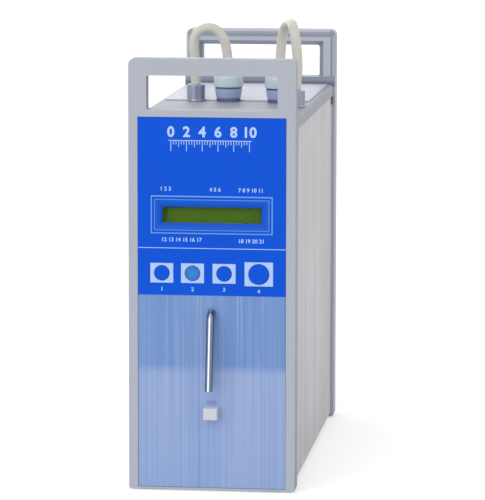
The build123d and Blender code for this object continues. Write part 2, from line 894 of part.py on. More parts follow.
with BuildPart() as port_c_cap:
    union_cap(port_c_at, cover_top)
save(port_c_cap.part, "port_c_cap")

with BuildPart() as port_nuts:
    for x, y in all_ports:
        with BuildSketch(level(cover_top - cover_sheet)):
            with Locations((x, front_y + y)):
                RegularPolygon(port_nut / 2, 6)
                Circle(shank_hole, mode=Mode.SUBTRACT)
        extrude(amount=-port_nut_thickness)
save(port_nuts.part, "port_nuts")


# Flexible tubes looped between the ports
def corner_radii(points):
    """One bend radius for each inner point of a route, as wide as its two runs allow."""
    radii = []
    for before, here, after in zip(points, points[1:], points[2:]):
        run_in = Vector(*here) - Vector(*before)
        run_out = Vector(*after) - Vector(*here)
        half_turn = math.radians(run_in.get_angle(run_out)) / 2
        shorter = min(run_in.length, run_out.length)
        radii.append(loop_roundness * shorter / math.tan(half_turn))
    return radii


def flexible_tube(points):
    """A tube along straight runs joined by tangent arcs, starting straight up."""
    radii = corner_radii(points)
    print("bend radii:", ", ".join("%.1f" % radius for radius in radii))
    with BuildLine() as route:
        FilletPolyline(*points, radius=radii)
    with BuildSketch(Plane(origin=points[0], z_dir=(0, 0, 1))) as section:
        Circle(tube_outer / 2)
    sweep(section.sketch, path=route.wires()[0])
    length = route.wires()[0].length
    print("route length %.1f, section volume %.0f" % (length, math.pi * tube_outer ** 2 / 4 * length))


corner_rise = math.tan(math.radians(30))
crown_rise = 1 / math.cos(math.radians(30))
left_y = front_y + port_a_at[1]
left_points = [
    (port_a_at[0], left_y, tube_a_z),
    (port_a_at[0], left_y, left_loop_start_z),
    (left_loop_x - left_loop_radius, left_y, left_loop_z + left_loop_radius * corner_rise),
    (left_loop_x + left_loop_lean, left_y, left_loop_z + left_loop_radius * crown_rise),
    (left_loop_x + left_loop_radius, left_y, left_loop_z + left_loop_radius * corner_rise),
    (port_b_at[0], front_y + port_b_at[1], left_loop_end_z),
    (port_b_at[0], front_y + port_b_at[1], tube_b_z),
]
with BuildPart() as tube_left:
    flexible_tube(left_points)
save(tube_left.part, "tube_left")
print("tube_left volume %.0f" % tube_left.part.volume)

crown_x = (port_c_at[0] + port_d_at[0]) / 2 + right_loop_lean
crown_y = front_y + (port_c_at[1] + port_d_at[1]) / 2
right_points = [
    (port_c_at[0], front_y + port_c_at[1], tube_c_z),
    (port_c_at[0], front_y + port_c_at[1], right_loop_start_z),
    (port_c_at[0] + right_loop_draw_c, front_y + port_c_at[1], right_loop_z),
    (crown_x, crown_y, right_loop_z + right_loop_crown),
    (port_d_at[0] - right_loop_draw_d, front_y + port_d_at[1], right_loop_z),
    (port_d_at[0] + right_loop_bow, front_y + port_d_at[1], right_loop_end_z),
    (port_d_at[0], front_y + port_d_at[1], right_loop_exit_z),
    (port_d_at[0], front_y + port_d_at[1], tube_d_z),
]
with BuildPart() as tube_right:
    flexible_tube(right_points)
save(tube_right.part, "tube_right")
print("tube_right volume %.0f" % tube_right.part.volume)

# Inner chassis, a bent sheet that stands on the casing floor
chassis_y = front_y + chassis_front
chassis_length = chassis_rear - chassis_front
motor_hole = motor_boss / 2 + boss_play
main_board_holes = [
    (front_y + main_board_front + y, main_board_bottom + z)
    for y in (board_hole_inset, main_board_length - board_hole_inset)
    for z in (board_hole_inset, main_board_height - board_hole_inset)
]
with BuildPart() as chassis:
    with BuildSketch(facing(chassis_y)):
        with Locations((chassis_x, floor_top)):
            Rectangle(chassis_sheet, chassis_top - floor_top, align=(Align.MIN, Align.MIN))
            Rectangle(chassis_flange, chassis_sheet, align=(Align.MIN, Align.MIN))
    extrude(amount=-chassis_length)
    with BuildSketch(beside(chassis_x - 1)):
        with Locations((front_y + pump_y, pump_z)):
            Circle(motor_hole)
        with Locations(main_board_holes):
            Circle(screw_shank / 2)
    extrude(amount=chassis_sheet + 2, mode=Mode.SUBTRACT)
save(chassis.part, "chassis")

# Measuring cell with an ultrasonic sensor at each end, in two clamps
cell_y = front_y + cell_front
cell_x = chassis_x - cell_clamp_sheet - cell_width / 2
cell_z = cell_bottom + cell_height / 2
with BuildPart() as measuring_cell:
    with BuildSketch(facing(cell_y)):
        with Locations((cell_x, cell_z)):
            Rectangle(cell_width, cell_height)
            Circle(cell_bore / 2, mode=Mode.SUBTRACT)
    extrude(amount=-cell_length)
    for share in (cell_port_share, 1 - cell_port_share):
        with BuildSketch(level(cell_bottom - 1)):
            with Locations((cell_x, cell_y + cell_length * share)):
                Circle(flow_bore / 2)
        extrude(amount=cell_height / 2 + 1, mode=Mode.SUBTRACT)
save(measuring_cell.part, "measuring_cell")

with BuildPart() as cell_sensors:
    for y, direction in ((cell_y, 1), (cell_y + cell_length, -1)):
        with BuildSketch(facing(y)):
            with Locations((cell_x, cell_z)):
                Circle(sensor_outer / 2)
        extrude(amount=direction * sensor_thickness)
save(cell_sensors.part, "cell_sensors")

with BuildPart() as cell_clamps:
    for share in (cell_clamp_share, 1 - cell_clamp_share):
        clamp_y = cell_y + cell_length * share - cell_clamp_width / 2
        with BuildSketch(facing(clamp_y)):
            outer_width = cell_width + 2 * cell_clamp_sheet
            with Locations((cell_x, cell_z)):
                Rectangle(outer_width, cell_height + 2 * cell_clamp_sheet)
                Rectangle(cell_width, cell_height, mode=Mode.SUBTRACT)
        extrude(amount=-cell_clamp_width)
save(cell_clamps.part, "cell_clamps")

# Peristaltic pump: housing, rotor, two rollers, and a gear motor behind the chassis
pump_at = (front_y + pump_y, pump_z)
pump_radius = pump_outer / 2
track_radius = pump_radius - pump_wall
pump_back_x = chassis_x
pump_face_x = pump_back_x - pump_depth
with BuildPart() as pump_housing:
    with BuildSketch(beside(pump_back_x)):
        with Locations(pump_at):
            Circle(pump_radius)
    extrude(amount=-pump_depth)
    with BuildSketch(beside(pump_back_x - pump_back)):
        with Locations(pump_at):
            Circle(track_radius)
    extrude(amount=-pump_depth, mode=Mode.SUBTRACT)
    with BuildSketch(beside(pump_back_x + 1)):
        with Locations(pump_at):
            Circle(motor_boss / 2 + boss_play)
    extrude(amount=-(pump_back + 2), mode=Mode.SUBTRACT)
    tube_slot_x = pump_back_x - pump_back - (pump_depth - pump_back) / 2
    with BuildSketch(level(pump_z)):
        for side in (-1, 1):
            with Locations((tube_slot_x, pump_at[0] + side * (track_radius - track_tube / 2))):
                Circle(track_tube / 2 + tube_slot_play)
    extrude(amount=-pump_outer, mode=Mode.SUBTRACT)
save(pump_housing.part, "pump_housing")

with BuildPart() as pump_lid:
    with BuildSketch(beside(pump_face_x)):
        with Locations(pump_at):
            Circle(pump_radius)
    extrude(amount=-pump_cover)
save(pump_lid.part, "pump_lid")

track_inner = track_radius - track_tube
orbit = track_inner - roller_gap - roller_outer / 2
rotor_low_x = pump_back_x - pump_back - rotor_play
rotor_high_x = pump_face_x + rotor_play
rotor_depth = rotor_low_x - rotor_high_x
roller_depth = rotor_depth * roller_share
arm_thickness = (rotor_depth - roller_depth) / 2 - rotor_play / 2
roller_sites = [(pump_at[0], pump_z + orbit), (pump_at[0], pump_z - orbit)]
with BuildPart() as pump_rotor:
    with BuildSketch(beside(rotor_low_x)):
        with Locations(pump_at):
            Circle(rotor_hub / 2)
    extrude(amount=-rotor_depth)
    for x, direction in ((rotor_low_x, -1), (rotor_high_x, 1)):
        with BuildSketch(beside(x)):
            with Locations(pump_at):
                SlotCenterToCenter(2 * orbit, rotor_arm_width, rotation=90)
        extrude(amount=direction * arm_thickness)
    with BuildSketch(beside(rotor_low_x)):
        with Locations(roller_sites):
            Circle(roller_pin / 2)
    extrude(amount=-rotor_depth)
    with BuildSketch(beside(rotor_low_x + 1)):
        with Locations(pump_at):
            Circle(motor_shaft / 2)
    extrude(amount=-(rotor_depth - 1), mode=Mode.SUBTRACT)
save(pump_rotor.part, "pump_rotor")

roller_start = rotor_low_x - arm_thickness - rotor_play / 2
for number, site in enumerate(roller_sites, start=1):
    with BuildPart() as roller:
        with BuildSketch(beside(roller_start)):
            with Locations(site):
                Circle(roller_outer / 2)
                Circle(roller_pin / 2 + roller_play, mode=Mode.SUBTRACT)
        extrude(amount=-roller_depth)
    save(roller.part, "pump_roller_%d" % number)

motor_x = chassis_x + chassis_sheet
shaft_end = motor_x + shaft_root
with BuildPart() as motor_shaft_part:
    with BuildSketch(beside(rotor_low_x)):
        with Locations(pump_at):
            Circle(motor_shaft / 2)
    extrude(amount=-(rotor_depth - 2))
    with BuildSketch(beside(rotor_low_x)):
        with Locations(pump_at):
            Circle(motor_shaft / 2)
    extrude(amount=shaft_end - rotor_low_x)
save(motor_shaft_part.part, "motor_shaft")

with BuildPart() as pump_motor:
    with BuildSketch(beside(motor_x)):
        with Locations(pump_at):
            Circle(motor_outer / 2)
    extrude(amount=motor_length)
    with BuildSketch(beside(motor_x)):
        with Locations(pump_at):
            Circle(motor_boss / 2)
    extrude(amount=-(chassis_sheet + pump_back - boss_gap))
    with BuildSketch(beside(chassis_x - pump_back - 1)):
        with Locations(pump_at):
            Circle(motor_shaft / 2 + shaft_play)
    extrude(amount=shaft_end + shaft_spare - (chassis_x - pump_back - 1), mode=Mode.SUBTRACT)
save(pump_motor.part, "pump_motor")

with BuildPart() as pump_tube:
    with BuildLine(beside(tube_slot_x)) as track_line:
        track_centre = track_radius - track_tube / 2
        CenterArc((pump_at[0], pump_z), track_centre, 0, 180)
        tail_z = pump_z - pump_radius - pump_tail
        Line((pump_at[0] - track_centre, pump_z), (pump_at[0] - track_centre, tail_z))
        Line((pump_at[0] + track_centre, pump_z), (pump_at[0] + track_centre, tail_z))
    with BuildSketch(Plane(origin=(tube_slot_x, pump_at[0] + track_centre, tail_z))):
        Circle(track_tube / 2 - spot_play)
    sweep(path=track_line.wires()[0])
save(pump_tube.part, "pump_tube")

# Hoses from the pipe, the ports and the pump
pump_port_z = pump_z - pump_radius - pump_tail
hose_a = (port_a_at[0], front_y + port_a_at[1])
hose_b = (port_b_at[0], front_y + port_b_at[1])
shank_end = cover_top - shank_length
cell_inlet_y = cell_y + cell_length * cell_port_share
hose_routes = [
    [
        (0, front_y + pipe_inside, pipe_z),
        (0, front_y + pipe_inside + hose_lead, pipe_z),
        (intake_hose_turn[0], front_y + intake_hose_turn[1], intake_hose_turn[2]),
        (hose_a[0], hose_a[1], intake_hose_rise_z),
        (hose_a[0], hose_a[1], shank_end),
    ],
    [
        (hose_b[0], hose_b[1], shank_end),
        (hose_b[0], hose_b[1], sample_hose_top_z),
        *[(x, front_y + y, z) for x, y, z in sample_hose_turns],
        (tube_slot_x, pump_at[0] - track_centre, pump_hose_in_z),
        (tube_slot_x, pump_at[0] - track_centre, pump_port_z),
    ],
    [
        (tube_slot_x, pump_at[0] + track_centre, pump_port_z),
        (tube_slot_x, pump_at[0] + track_centre, pump_hose_out_z),
        (cell_x, cell_inlet_y - cell_hose_lead, cell_hose_low_z),
        (cell_x, cell_inlet_y, cell_hose_rise_z),
        (cell_x, cell_inlet_y, cell_bottom),
    ],
]
with BuildPart() as inner_hoses:
    for points in hose_routes:
        start = Vector(*points[1]) - Vector(*points[0])
        with BuildLine() as hose_line:
            FilletPolyline(*points, radius=[min(hose_bend, r) for r in corner_radii(points)])
        with BuildSketch(Plane(origin=points[0], z_dir=start)):
            Circle(hose_outer / 2)
            Circle(hose_bore / 2, mode=Mode.SUBTRACT)
        sweep(path=hose_line.wires()[0])
save(inner_hoses.part, "inner_hoses")

# Main board on standoffs, with its larger components
board_x = chassis_x + chassis_sheet + standoff_length
board_front = front_y + main_board_front
with BuildPart() as main_board:
    with BuildSketch(beside(board_x)):
        with Locations((board_front + main_board_length / 2, main_board_bottom + main_board_height / 2)):
            Rectangle(main_board_length, main_board_height)
        with Locations(main_board_holes):
            Circle(screw_shank / 2 + spot_play, mode=Mode.SUBTRACT)
    extrude(amount=board_thickness)
save(main_board.part, "main_board")

with BuildPart() as board_standoffs:
    with BuildSketch(facing(board_face_y)):
        with Locations(front_board_holes):
            Circle(standoff_outer / 2)
            Circle(screw_shank / 2, mode=Mode.SUBTRACT)
    extrude(amount=board_face_y - plate_back_y)
    with BuildSketch(beside(chassis_x + chassis_sheet)):
        with Locations(main_board_holes):
            Circle(standoff_outer / 2)
            Circle(screw_shank / 2, mode=Mode.SUBTRACT)
    extrude(amount=standoff_length)
save(board_standoffs.part, "board_standoffs")

with BuildPart() as board_screws:
    with BuildSketch(facing(board_face_y + board_thickness)):
        with Locations(front_board_holes):
            Circle(screw_head / 2)
    extrude(amount=-screw_head_height)
    with BuildSketch(facing(board_face_y + board_thickness)):
        with Locations(front_board_holes):
            Circle(screw_shank / 2)
    extrude(amount=board_thickness + screw_reach)
    with BuildSketch(beside(board_x + board_thickness)):
        with Locations(main_board_holes):
            Circle(screw_head / 2)
    extrude(amount=screw_head_height)
    with BuildSketch(beside(board_x + board_thickness)):
        with Locations(main_board_holes):
            Circle(screw_shank / 2)
    extrude(amount=-(board_thickness + screw_reach))
save(board_screws.part, "board_screws")

with BuildPart() as board_components:
    for offset_z, side, height in chip_rows:
        for share in chip_shares:
            with BuildSketch(beside(board_x + board_thickness)):
                with Locations((board_front + main_board_length * share, main_board_bottom + offset_z)):
                    Rectangle(side, side * chip_aspect)
            extrude(amount=height)
save(board_components.part, "board_components")

# Ribbon cable from the front board to the main board
ribbon_end_y = board_front + ribbon_overlap
ribbon_end_x = board_x + board_thickness + ribbon_rise
with BuildPart() as ribbon_cable:
    with BuildLine(level(ribbon_z)) as ribbon_line:
        FilletPolyline(
            (ribbon_x, board_face_y + board_thickness),
            (ribbon_x, board_face_y + ribbon_straight),
            (ribbon_end_x, board_front - ribbon_straight),
            (ribbon_end_x, ribbon_end_y),
            radius=ribbon_bend,
        )
    with BuildSketch(facing(board_face_y + board_thickness)):
        with Locations((ribbon_x, ribbon_z)):
            Rectangle(ribbon_thickness, ribbon_width)
    sweep(path=ribbon_line.wires()[0])
save(ribbon_cable.part, "ribbon_cable")

# Mains power supply on the casing floor
supply_y = front_y + supply_front
supply_x = chassis_x - supply_foot - supply_width / 2
with BuildPart() as power_supply:
    with BuildSketch(level(floor_top)):
        with Locations((supply_x, supply_y + supply_length / 2)):
            Rectangle(supply_width, supply_length)
    extrude(amount=supply_height)
    chamfer(power_supply.edges().filter_by(Axis.Z), supply_chamfer)
save(power_supply.part, "power_supply")

# Rear panel
drawer_z = inlet_z + drawer_rise
inlet_low = inlet_z - inlet_flange_height / 2
inlet_high = drawer_z + drawer_height / 2 + inlet_headroom
slots_low = slot_z - slot_pitch * (slot_count - 1) / 2
with BuildPart() as rear_plate:
    with BuildSketch(facing(rear_plate_y)):
        band(plate_width - 2 * plate_play, plate_low + plate_play, plate_high - plate_play)
        with Locations((0, (inlet_low + inlet_high) / 2)):
            inlet_hole = inlet_high - inlet_low - 2 * (inlet_lip - spot_play)
            Rectangle(inlet_width + 2 * spot_play, inlet_hole, mode=Mode.SUBTRACT)
        with Locations((0, switch_z)):
            Rectangle(
                switch_body_width + 2 * spot_play, switch_body_height + 2 * spot_play, mode=Mode.SUBTRACT
            )
        for z in serial_zs:
            with Locations((0, z)):
                serial_hole = serial_shell[0] + 2 * (serial_body_side + spot_play)
                Rectangle(serial_hole, serial_shell[1] + 2 * serial_body_side, mode=Mode.SUBTRACT)
            with Locations((-serial_post_pitch / 2, z), (serial_post_pitch / 2, z)):
                Circle(plate_screw_shank / 2 + spot_play, mode=Mode.SUBTRACT)
        with Locations([(0, slots_low + slot_pitch * index) for index in range(slot_count)]):
            SlotOverall(slot_length, slot_width, mode=Mode.SUBTRACT)
        with Locations(plate_screws_at):
            Circle(plate_screw_shank / 2 + spot_play, mode=Mode.SUBTRACT)
    extrude(amount=plate_thickness)
save(rear_plate.part, "rear_plate")

# Mains inlet with a fuse drawer above the socket
with BuildPart() as power_inlet:
    with BuildSketch(facing(rear_plate_y)):
        band(inlet_flange_width, inlet_low, inlet_high)
    extrude(amount=-inlet_proud)
    chamfer(power_inlet.faces().sort_by(Axis.Y)[-1].edges(), inlet_chamfer)
    with BuildSketch(facing(rear_plate_y)):
        band(inlet_width, inlet_low + inlet_lip, inlet_high - inlet_lip)
    extrude(amount=inlet_body_depth)
    inlet_face_y = rear_plate_y + inlet_proud
    with BuildSketch(facing(inlet_face_y + 1)):
        with Locations((0, inlet_z)):
            Rectangle(inlet_cavity_width, inlet_cavity_height)
    extrude(amount=inlet_cavity_depth + 1, mode=Mode.SUBTRACT)
    with BuildSketch(facing(inlet_face_y - inlet_cavity_depth)):
        low_pin_z = inlet_z - inlet_pin_stagger
        high_pin_z = inlet_z + inlet_pin_stagger
        with Locations((-inlet_pin_pitch, low_pin_z), (0, high_pin_z), (inlet_pin_pitch, low_pin_z)):
            Rectangle(inlet_pin, inlet_pin_width)
    extrude(amount=-inlet_pin_length)
    with BuildSketch(facing(inlet_face_y + 1)):
        with Locations((0, drawer_z)):
            Rectangle(drawer_width + 2 * drawer_play, drawer_height + 2 * drawer_play)
    extrude(amount=drawer_depth + drawer_play + 1, mode=Mode.SUBTRACT)
save(power_inlet.part, "power_inlet")

with BuildPart() as fuse_drawer:
    with BuildSketch(facing(inlet_face_y)):
        with Locations((0, drawer_z)):
            Rectangle(drawer_width, drawer_height)
    extrude(amount=drawer_depth)
    with BuildSketch(facing(inlet_face_y - drawer_face)):
        with Locations((0, drawer_z)):
            Rectangle(drawer_width - 2 * drawer_side_wall, drawer_height - 2 * drawer_end_wall)
    extrude(amount=drawer_depth - 2 * drawer_face, mode=Mode.SUBTRACT)
save(fuse_drawer.part, "fuse_drawer")

# Mains switch: a body in the panel and a rocker on its pin
switch_face_y = rear_plate_y + switch_flange
pivot_y = switch_face_y - rocker_pivot_depth
with BuildPart() as switch_body:
    with BuildSketch(facing(rear_plate_y)):
        with Locations((0, switch_z)):
            Rectangle(switch_body_width + 2 * switch_lip, switch_body_height + 2 * switch_lip)
    extrude(amount=-switch_flange)
    with BuildSketch(facing(rear_plate_y)):
        with Locations((0, switch_z)):
            Rectangle(switch_body_width, switch_body_height)
    extrude(amount=switch_body_depth)
    with BuildSketch(facing(switch_face_y + 1)):
        with Locations((0, switch_z)):
            Rectangle(switch_open_width, switch_open_height)
    extrude(amount=rocker_pivot_depth + rocker_radius + 2, mode=Mode.SUBTRACT)
    with BuildSketch(beside(-switch_body_width / 2 + 1)):
        with Locations((pivot_y, switch_z)):
            Circle(rocker_pin / 2)
    extrude(amount=switch_body_width - 2)
save(switch_body.part, "switch_body")

with BuildPart() as power_rocker:
    rocker_width = switch_open_width - 2 * rocker_play
    tilt = math.radians(rocker_tilt)
    rocker_half = switch_open_height / 2 - rocker_play - rocker_swing
    proud = rocker_pivot_depth - rocker_sink
    dip = rocker_half * math.tan(tilt)
    shoulder = rocker_half * rocker_taper
    rocker_plane = Plane(
        origin=(-rocker_width / 2, pivot_y, switch_z),
        x_dir=(0, math.cos(tilt), -math.sin(tilt)),
        z_dir=(1, 0, 0),
    )
    with BuildSketch(rocker_plane):
        with BuildLine():
            Polyline(
                (proud, rocker_half),
                (proud - dip, 0),
                (proud, -rocker_half),
                (-rocker_waist, -shoulder),
                (-rocker_heel, 0),
                (-rocker_waist, shoulder),
                close=True,
            )
        make_face()
    extrude(amount=rocker_width)
    with BuildSketch(beside(-rocker_width / 2 - 1)):
        with Locations((pivot_y, switch_z)):
            Circle(rocker_pin / 2 + rocker_pin_play)
    extrude(amount=rocker_width + 2, mode=Mode.SUBTRACT)
save(power_rocker.part, "power_rocker")

# Serial ports for the computer and the printer
with BuildPart() as serial_ports:
    for z in serial_zs:
        with BuildSketch(facing(rear_plate_y)):
            with Locations((0, z)):
                Rectangle(*serial_flange)
            with Locations((-serial_post_pitch / 2, z), (serial_post_pitch / 2, z)):
                Circle(plate_screw_shank / 2 + spot_play, mode=Mode.SUBTRACT)
        extrude(amount=-serial_flange_thickness)
        with BuildSketch(facing(rear_plate_y)) as shell_outline:
            with Locations((0, z)):
                Trapezoid(serial_shell[0], serial_shell[1], serial_shell_angle)
            fillet(shell_outline.vertices(), serial_shell_corner)
        extrude(amount=-serial_shell_length)
        with BuildSketch(facing(rear_plate_y)):
            with Locations((0, z)):
                Rectangle(serial_shell[0] + 2 * serial_body_side, serial_shell[1])
        extrude(amount=serial_body_depth)
save(serial_ports.part, "serial_ports")

with BuildPart() as serial_posts:
    with BuildSketch(facing(rear_plate_y + serial_flange_thickness)):
        for z in serial_zs:
            with Locations((-serial_post_pitch / 2, z), (serial_post_pitch / 2, z)):
                RegularPolygon(serial_post / 2, 6)
    extrude(amount=-(serial_post_height - serial_flange_thickness))
    with BuildSketch(facing(rear_plate_y + serial_flange_thickness)):
        for z in serial_zs:
            with Locations((-serial_post_pitch / 2, z), (serial_post_pitch / 2, z)):
                Circle(plate_screw_shank / 2)
    extrude(amount=serial_flange_thickness + plate_thickness + serial_post_reach)
save(serial_posts.part, "serial_posts")

print("front face at y = %.2f, rear face at y = %.2f" % (front_y, rear_y))
print("keys at y = %.2f, port seat at z = %.2f" % (front_y - key_proud, cover_top))
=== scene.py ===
"""Looks for a bench milk analyzer: finishes, tubes, printing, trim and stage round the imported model."""

import math

import bmesh
import bpy
from mathutils import Matrix, Vector


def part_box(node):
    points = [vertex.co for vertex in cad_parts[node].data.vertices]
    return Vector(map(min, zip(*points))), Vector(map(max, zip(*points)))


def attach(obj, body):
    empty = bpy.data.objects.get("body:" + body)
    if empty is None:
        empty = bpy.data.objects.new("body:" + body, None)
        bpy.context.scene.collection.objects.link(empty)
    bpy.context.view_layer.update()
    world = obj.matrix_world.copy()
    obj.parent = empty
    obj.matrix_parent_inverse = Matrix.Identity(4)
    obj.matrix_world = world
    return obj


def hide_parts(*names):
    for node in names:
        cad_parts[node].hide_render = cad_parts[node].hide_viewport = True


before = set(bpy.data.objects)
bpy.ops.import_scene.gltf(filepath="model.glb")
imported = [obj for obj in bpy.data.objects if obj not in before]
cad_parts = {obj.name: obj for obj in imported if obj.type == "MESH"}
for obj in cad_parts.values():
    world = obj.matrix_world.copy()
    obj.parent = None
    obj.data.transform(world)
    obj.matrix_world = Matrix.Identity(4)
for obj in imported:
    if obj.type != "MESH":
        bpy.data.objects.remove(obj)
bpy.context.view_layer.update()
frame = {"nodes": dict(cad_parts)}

bl_info = {
    "name": "Milk analyzer looks",
    "version": (1, 0, 0),
    "blender": (4, 5, 0),
    "location": "3D View > Sidebar > Analyzer",
    "description": "Finishes, tubes, printing and stage for a bench milk analyzer",
    "category": "Object",
}

MM = 0.001
ROOT = "instrument"

# Scales of noise that several finishes share, in waves per metre
SLOW_WAVES = 22.0
FLOW_WAVES = 35.0
CLOUD_WAVES = 90.0
MARK_WAVES = 900.0
PEEL_WAVES = 1400.0
SPARK_WAVES = 2600.0

# Depths of grain that several finishes share, in metres
MARK_DEPTH = 0.01 * MM
SPARK_DEPTH = 0.02 * MM
PEEL_DEPTH = 0.03 * MM

PAINT_IOR = 1.48
DUST = (0.62, 0.60, 0.56)

# Limits for rounding edges: a distance in metres and two angles in degrees
WELD = 0.002 * MM
FLAT_ANGLE = 0.4
SHARP_ANGLE = 30.0


def srgb(red, green, blue):
    """A colour given as 0 to 255, in the linear values that Blender keeps."""
    shares = [value / 255 for value in (red, green, blue)]
    return tuple(s / 12.92 if s <= 0.04045 else ((s + 0.055) / 1.055) ** 2.4 for s in shares)


def opaque(colour):
    """The same colour with an alpha of 1."""
    return (*tuple(colour)[:3], 1.0)


def shade(colour, factor):
    """The same colour, darker below a factor of 1 and lighter above it."""
    return tuple(min(1.0, channel * factor) for channel in tuple(colour)[:3])


# Shader nodes


class Socket:
    """An output socket that adds Math nodes where it stands in an expression."""

    def __init__(self, finish, link):
        self.finish = finish
        self.link = link

    def math(self, operation, *values):
        return self.finish.node("ShaderNodeMath", {"operation": operation}, dict(enumerate(values)))

    def __add__(self, other):
        return self.math("ADD", self, other)

    def __radd__(self, other):
        return self.math("ADD", other, self)

    def __sub__(self, other):
        return self.math("SUBTRACT", self, other)

    def __rsub__(self, other):
        return self.math("SUBTRACT", other, self)

    def __mul__(self, other):
        return self.math("MULTIPLY", self, other)

    def __rmul__(self, other):
        return self.math("MULTIPLY", other, self)

    def __truediv__(self, other):
        return self.math("DIVIDE", self, other)

    def __gt__(self, other):
        return self.math("GREATER_THAN", self, other)

    def __lt__(self, other):
        return self.math("LESS_THAN", self, other)

    def __abs__(self):
        return self.math("ABSOLUTE", self)

    def fraction(self):
        return self.math("FRACT", self)

    def sine(self):
        return self.math("SINE", self)

    def least(self, other):
        return self.math("MINIMUM", self, other)


class Finish:
    """One material and the nodes that make it."""

    def __init__(self, name):
        self.material = bpy.data.materials.new(name)
        self.material.use_nodes = True
        self.tree = self.material.node_tree
        self.tree.nodes.clear()
        self.output = self.tree.nodes.new("ShaderNodeOutputMaterial")

    def node(self, kind, settings=None, values=None, out=0):
        """Adds a node, sets its settings first and then its sockets, and gives one of its outputs."""
        made = self.tree.nodes.new(kind)
        for key, value in (settings or {}).items():
            setattr(made, key, value)
        for key, value in (values or {}).items():
            self.put(made.inputs[key], value)
        return Socket(self, made.outputs[out])

    def put(self, socket, value):
        """Links a socket to another, or sets its own value."""
        if isinstance(value, Socket):
            self.tree.links.new(value.link, socket)
        else:
            socket.default_value = value

    def place(self, stretch=(1, 1, 1)):
        """Position on the piece in metres, squeezed by a factor on each axis."""
        at = self.node("ShaderNodeTexCoord", out="Object")
        if stretch == (1, 1, 1):
            return at
        return self.node("ShaderNodeVectorMath", {"operation": "MULTIPLY"}, {0: at, 1: stretch})

    def axis(self, index, vector=None):
        """One coordinate of a vector, by default of the position."""
        return self.node("ShaderNodeSeparateXYZ", None, {0: vector or self.place()}, out=index)

    def facing(self, index):
        """One coordinate of the surface's normal."""
        return self.axis(index, self.node("ShaderNodeNewGeometry", out="Normal"))

    def noise(self, scale, detail=2.0, stretch=(1, 1, 1), roughness=0.5):
        values = {"Vector": self.place(stretch), "Scale": scale, "Detail": detail, "Roughness": roughness}
        return self.node("ShaderNodeTexNoise", None, values)

    def ramp(self, value, low, high, first=0.0, last=1.0):
        """A value taken from one range to another, held at the ends."""
        values = {0: value, 1: low, 2: high, 3: first, 4: last}
        return self.node("ShaderNodeMapRange", {"clamp": True}, values)

    def mix(self, factor, first, second):
        """Two colours mixed by a factor."""
        first = first if isinstance(first, Socket) else opaque(first)
        second = second if isinstance(second, Socket) else opaque(second)
        values = {0: factor, 6: first, 7: second}
        return self.node("ShaderNodeMix", {"data_type": "RGBA"}, values, out=2)

    def edges(self, radius):
        """A mask that is 1 along sharp edges and 0 on flat faces."""
        soft = self.node("ShaderNodeBevel", {"samples": 4}, {"Radius": radius})
        flat = self.node("ShaderNodeNewGeometry", out="Normal")
        settings = {"operation": "DOT_PRODUCT"}
        same = self.node("ShaderNodeVectorMath", settings, {0: soft, 1: flat}, out="Value")
        return self.ramp(1 - same, 0.004, 0.12)

    def bump(self, height, strength, distance, before=None):
        values = {"Height": height, "Strength": strength, "Distance": distance}
        if before is not None:
            values["Normal"] = before
        return self.node("ShaderNodeBump", None, values)

    def peel(self):
        """The orange peel of sprayed paint."""
        return self.bump(self.noise(PEEL_WAVES), 0.35, PEEL_DEPTH)

    def spark(self, detail=1.5):
        """The fine grain of a spark-eroded mould."""
        return self.bump(self.noise(SPARK_WAVES, detail), 0.3, SPARK_DEPTH)

    def surface(self, colour, roughness, normal=None, **others):
        """Ends the material in one Principled shader with these sockets and others by name."""
        values = {"Base Color": colour, "Roughness": roughness}
        if normal is not None:
            values["Normal"] = normal
        values.update({key.replace("_", " "): value for key, value in others.items()})
        shader = self.node("ShaderNodeBsdfPrincipled", None, values)
        self.put(self.output.inputs["Surface"], shader)
        return self.material


def coated(name, colour, roughness=0.5, wear=0.35, drift=0.05, painted_flank=1.0):
    """Sprayed or powder-coated paint: orange peel, slow drift, rubbed edges, dust and painted shade on
    faces turned to +X.
    """
    f = Finish(name)
    slow = f.noise(SLOW_WAVES, 3.0)
    cloud = f.noise(CLOUD_WAVES, 4.0)
    base = f.mix(slow, shade(colour, 1 - drift), shade(colour, 1 + drift))
    base = f.mix(f.ramp(cloud, 0.55, 0.8, 0.0, 0.25), base, shade(colour, 1 - 1.6 * drift))
    scuffs = f.ramp(f.noise(260.0, 5.0), 0.42, 0.62)
    rubbed = f.edges(0.7 * MM) * scuffs * wear
    base = f.mix(rubbed, base, shade(colour, 1.28))
    dust = f.ramp(f.facing(2), 0.6, 1.0) * f.ramp(f.noise(60.0, 4.0), 0.4, 0.8) * 0.12
    base = f.mix(dust, base, DUST)
    # Painted shade: faces turned to +X take a darker copy of the paint, as if less light fell on that side
    if painted_flank < 1.0:
        base = f.mix(f.ramp(f.facing(0), 0.5, 0.95), base, shade(colour, painted_flank))
    rough = roughness + 0.10 * (cloud - 0.5) + 0.08 * dust - 0.10 * rubbed
    return f.surface(base, rough, f.peel(), IOR=PAINT_IOR)


def moulded(name, colour, roughness=0.45, coat=0.0, shine=0.5):
    """Moulded plastic: fine spark grain, faint flow marks and slightly polished edges."""
    f = Finish(name)
    flow = f.noise(FLOW_WAVES, 3.0, (1, 1, 0.4))
    base = f.mix(flow, shade(colour, 0.96), shade(colour, 1.04))
    polished = f.edges(0.4 * MM) * 0.5
    base = f.mix(polished * 0.5, base, shade(colour, 1.2))
    rough = roughness + 0.08 * (flow - 0.5) - 0.12 * polished
    return f.surface(
        base, rough, f.spark(), Coat_Weight=coat, Coat_Roughness=0.15, Specular_IOR_Level=shine
    )


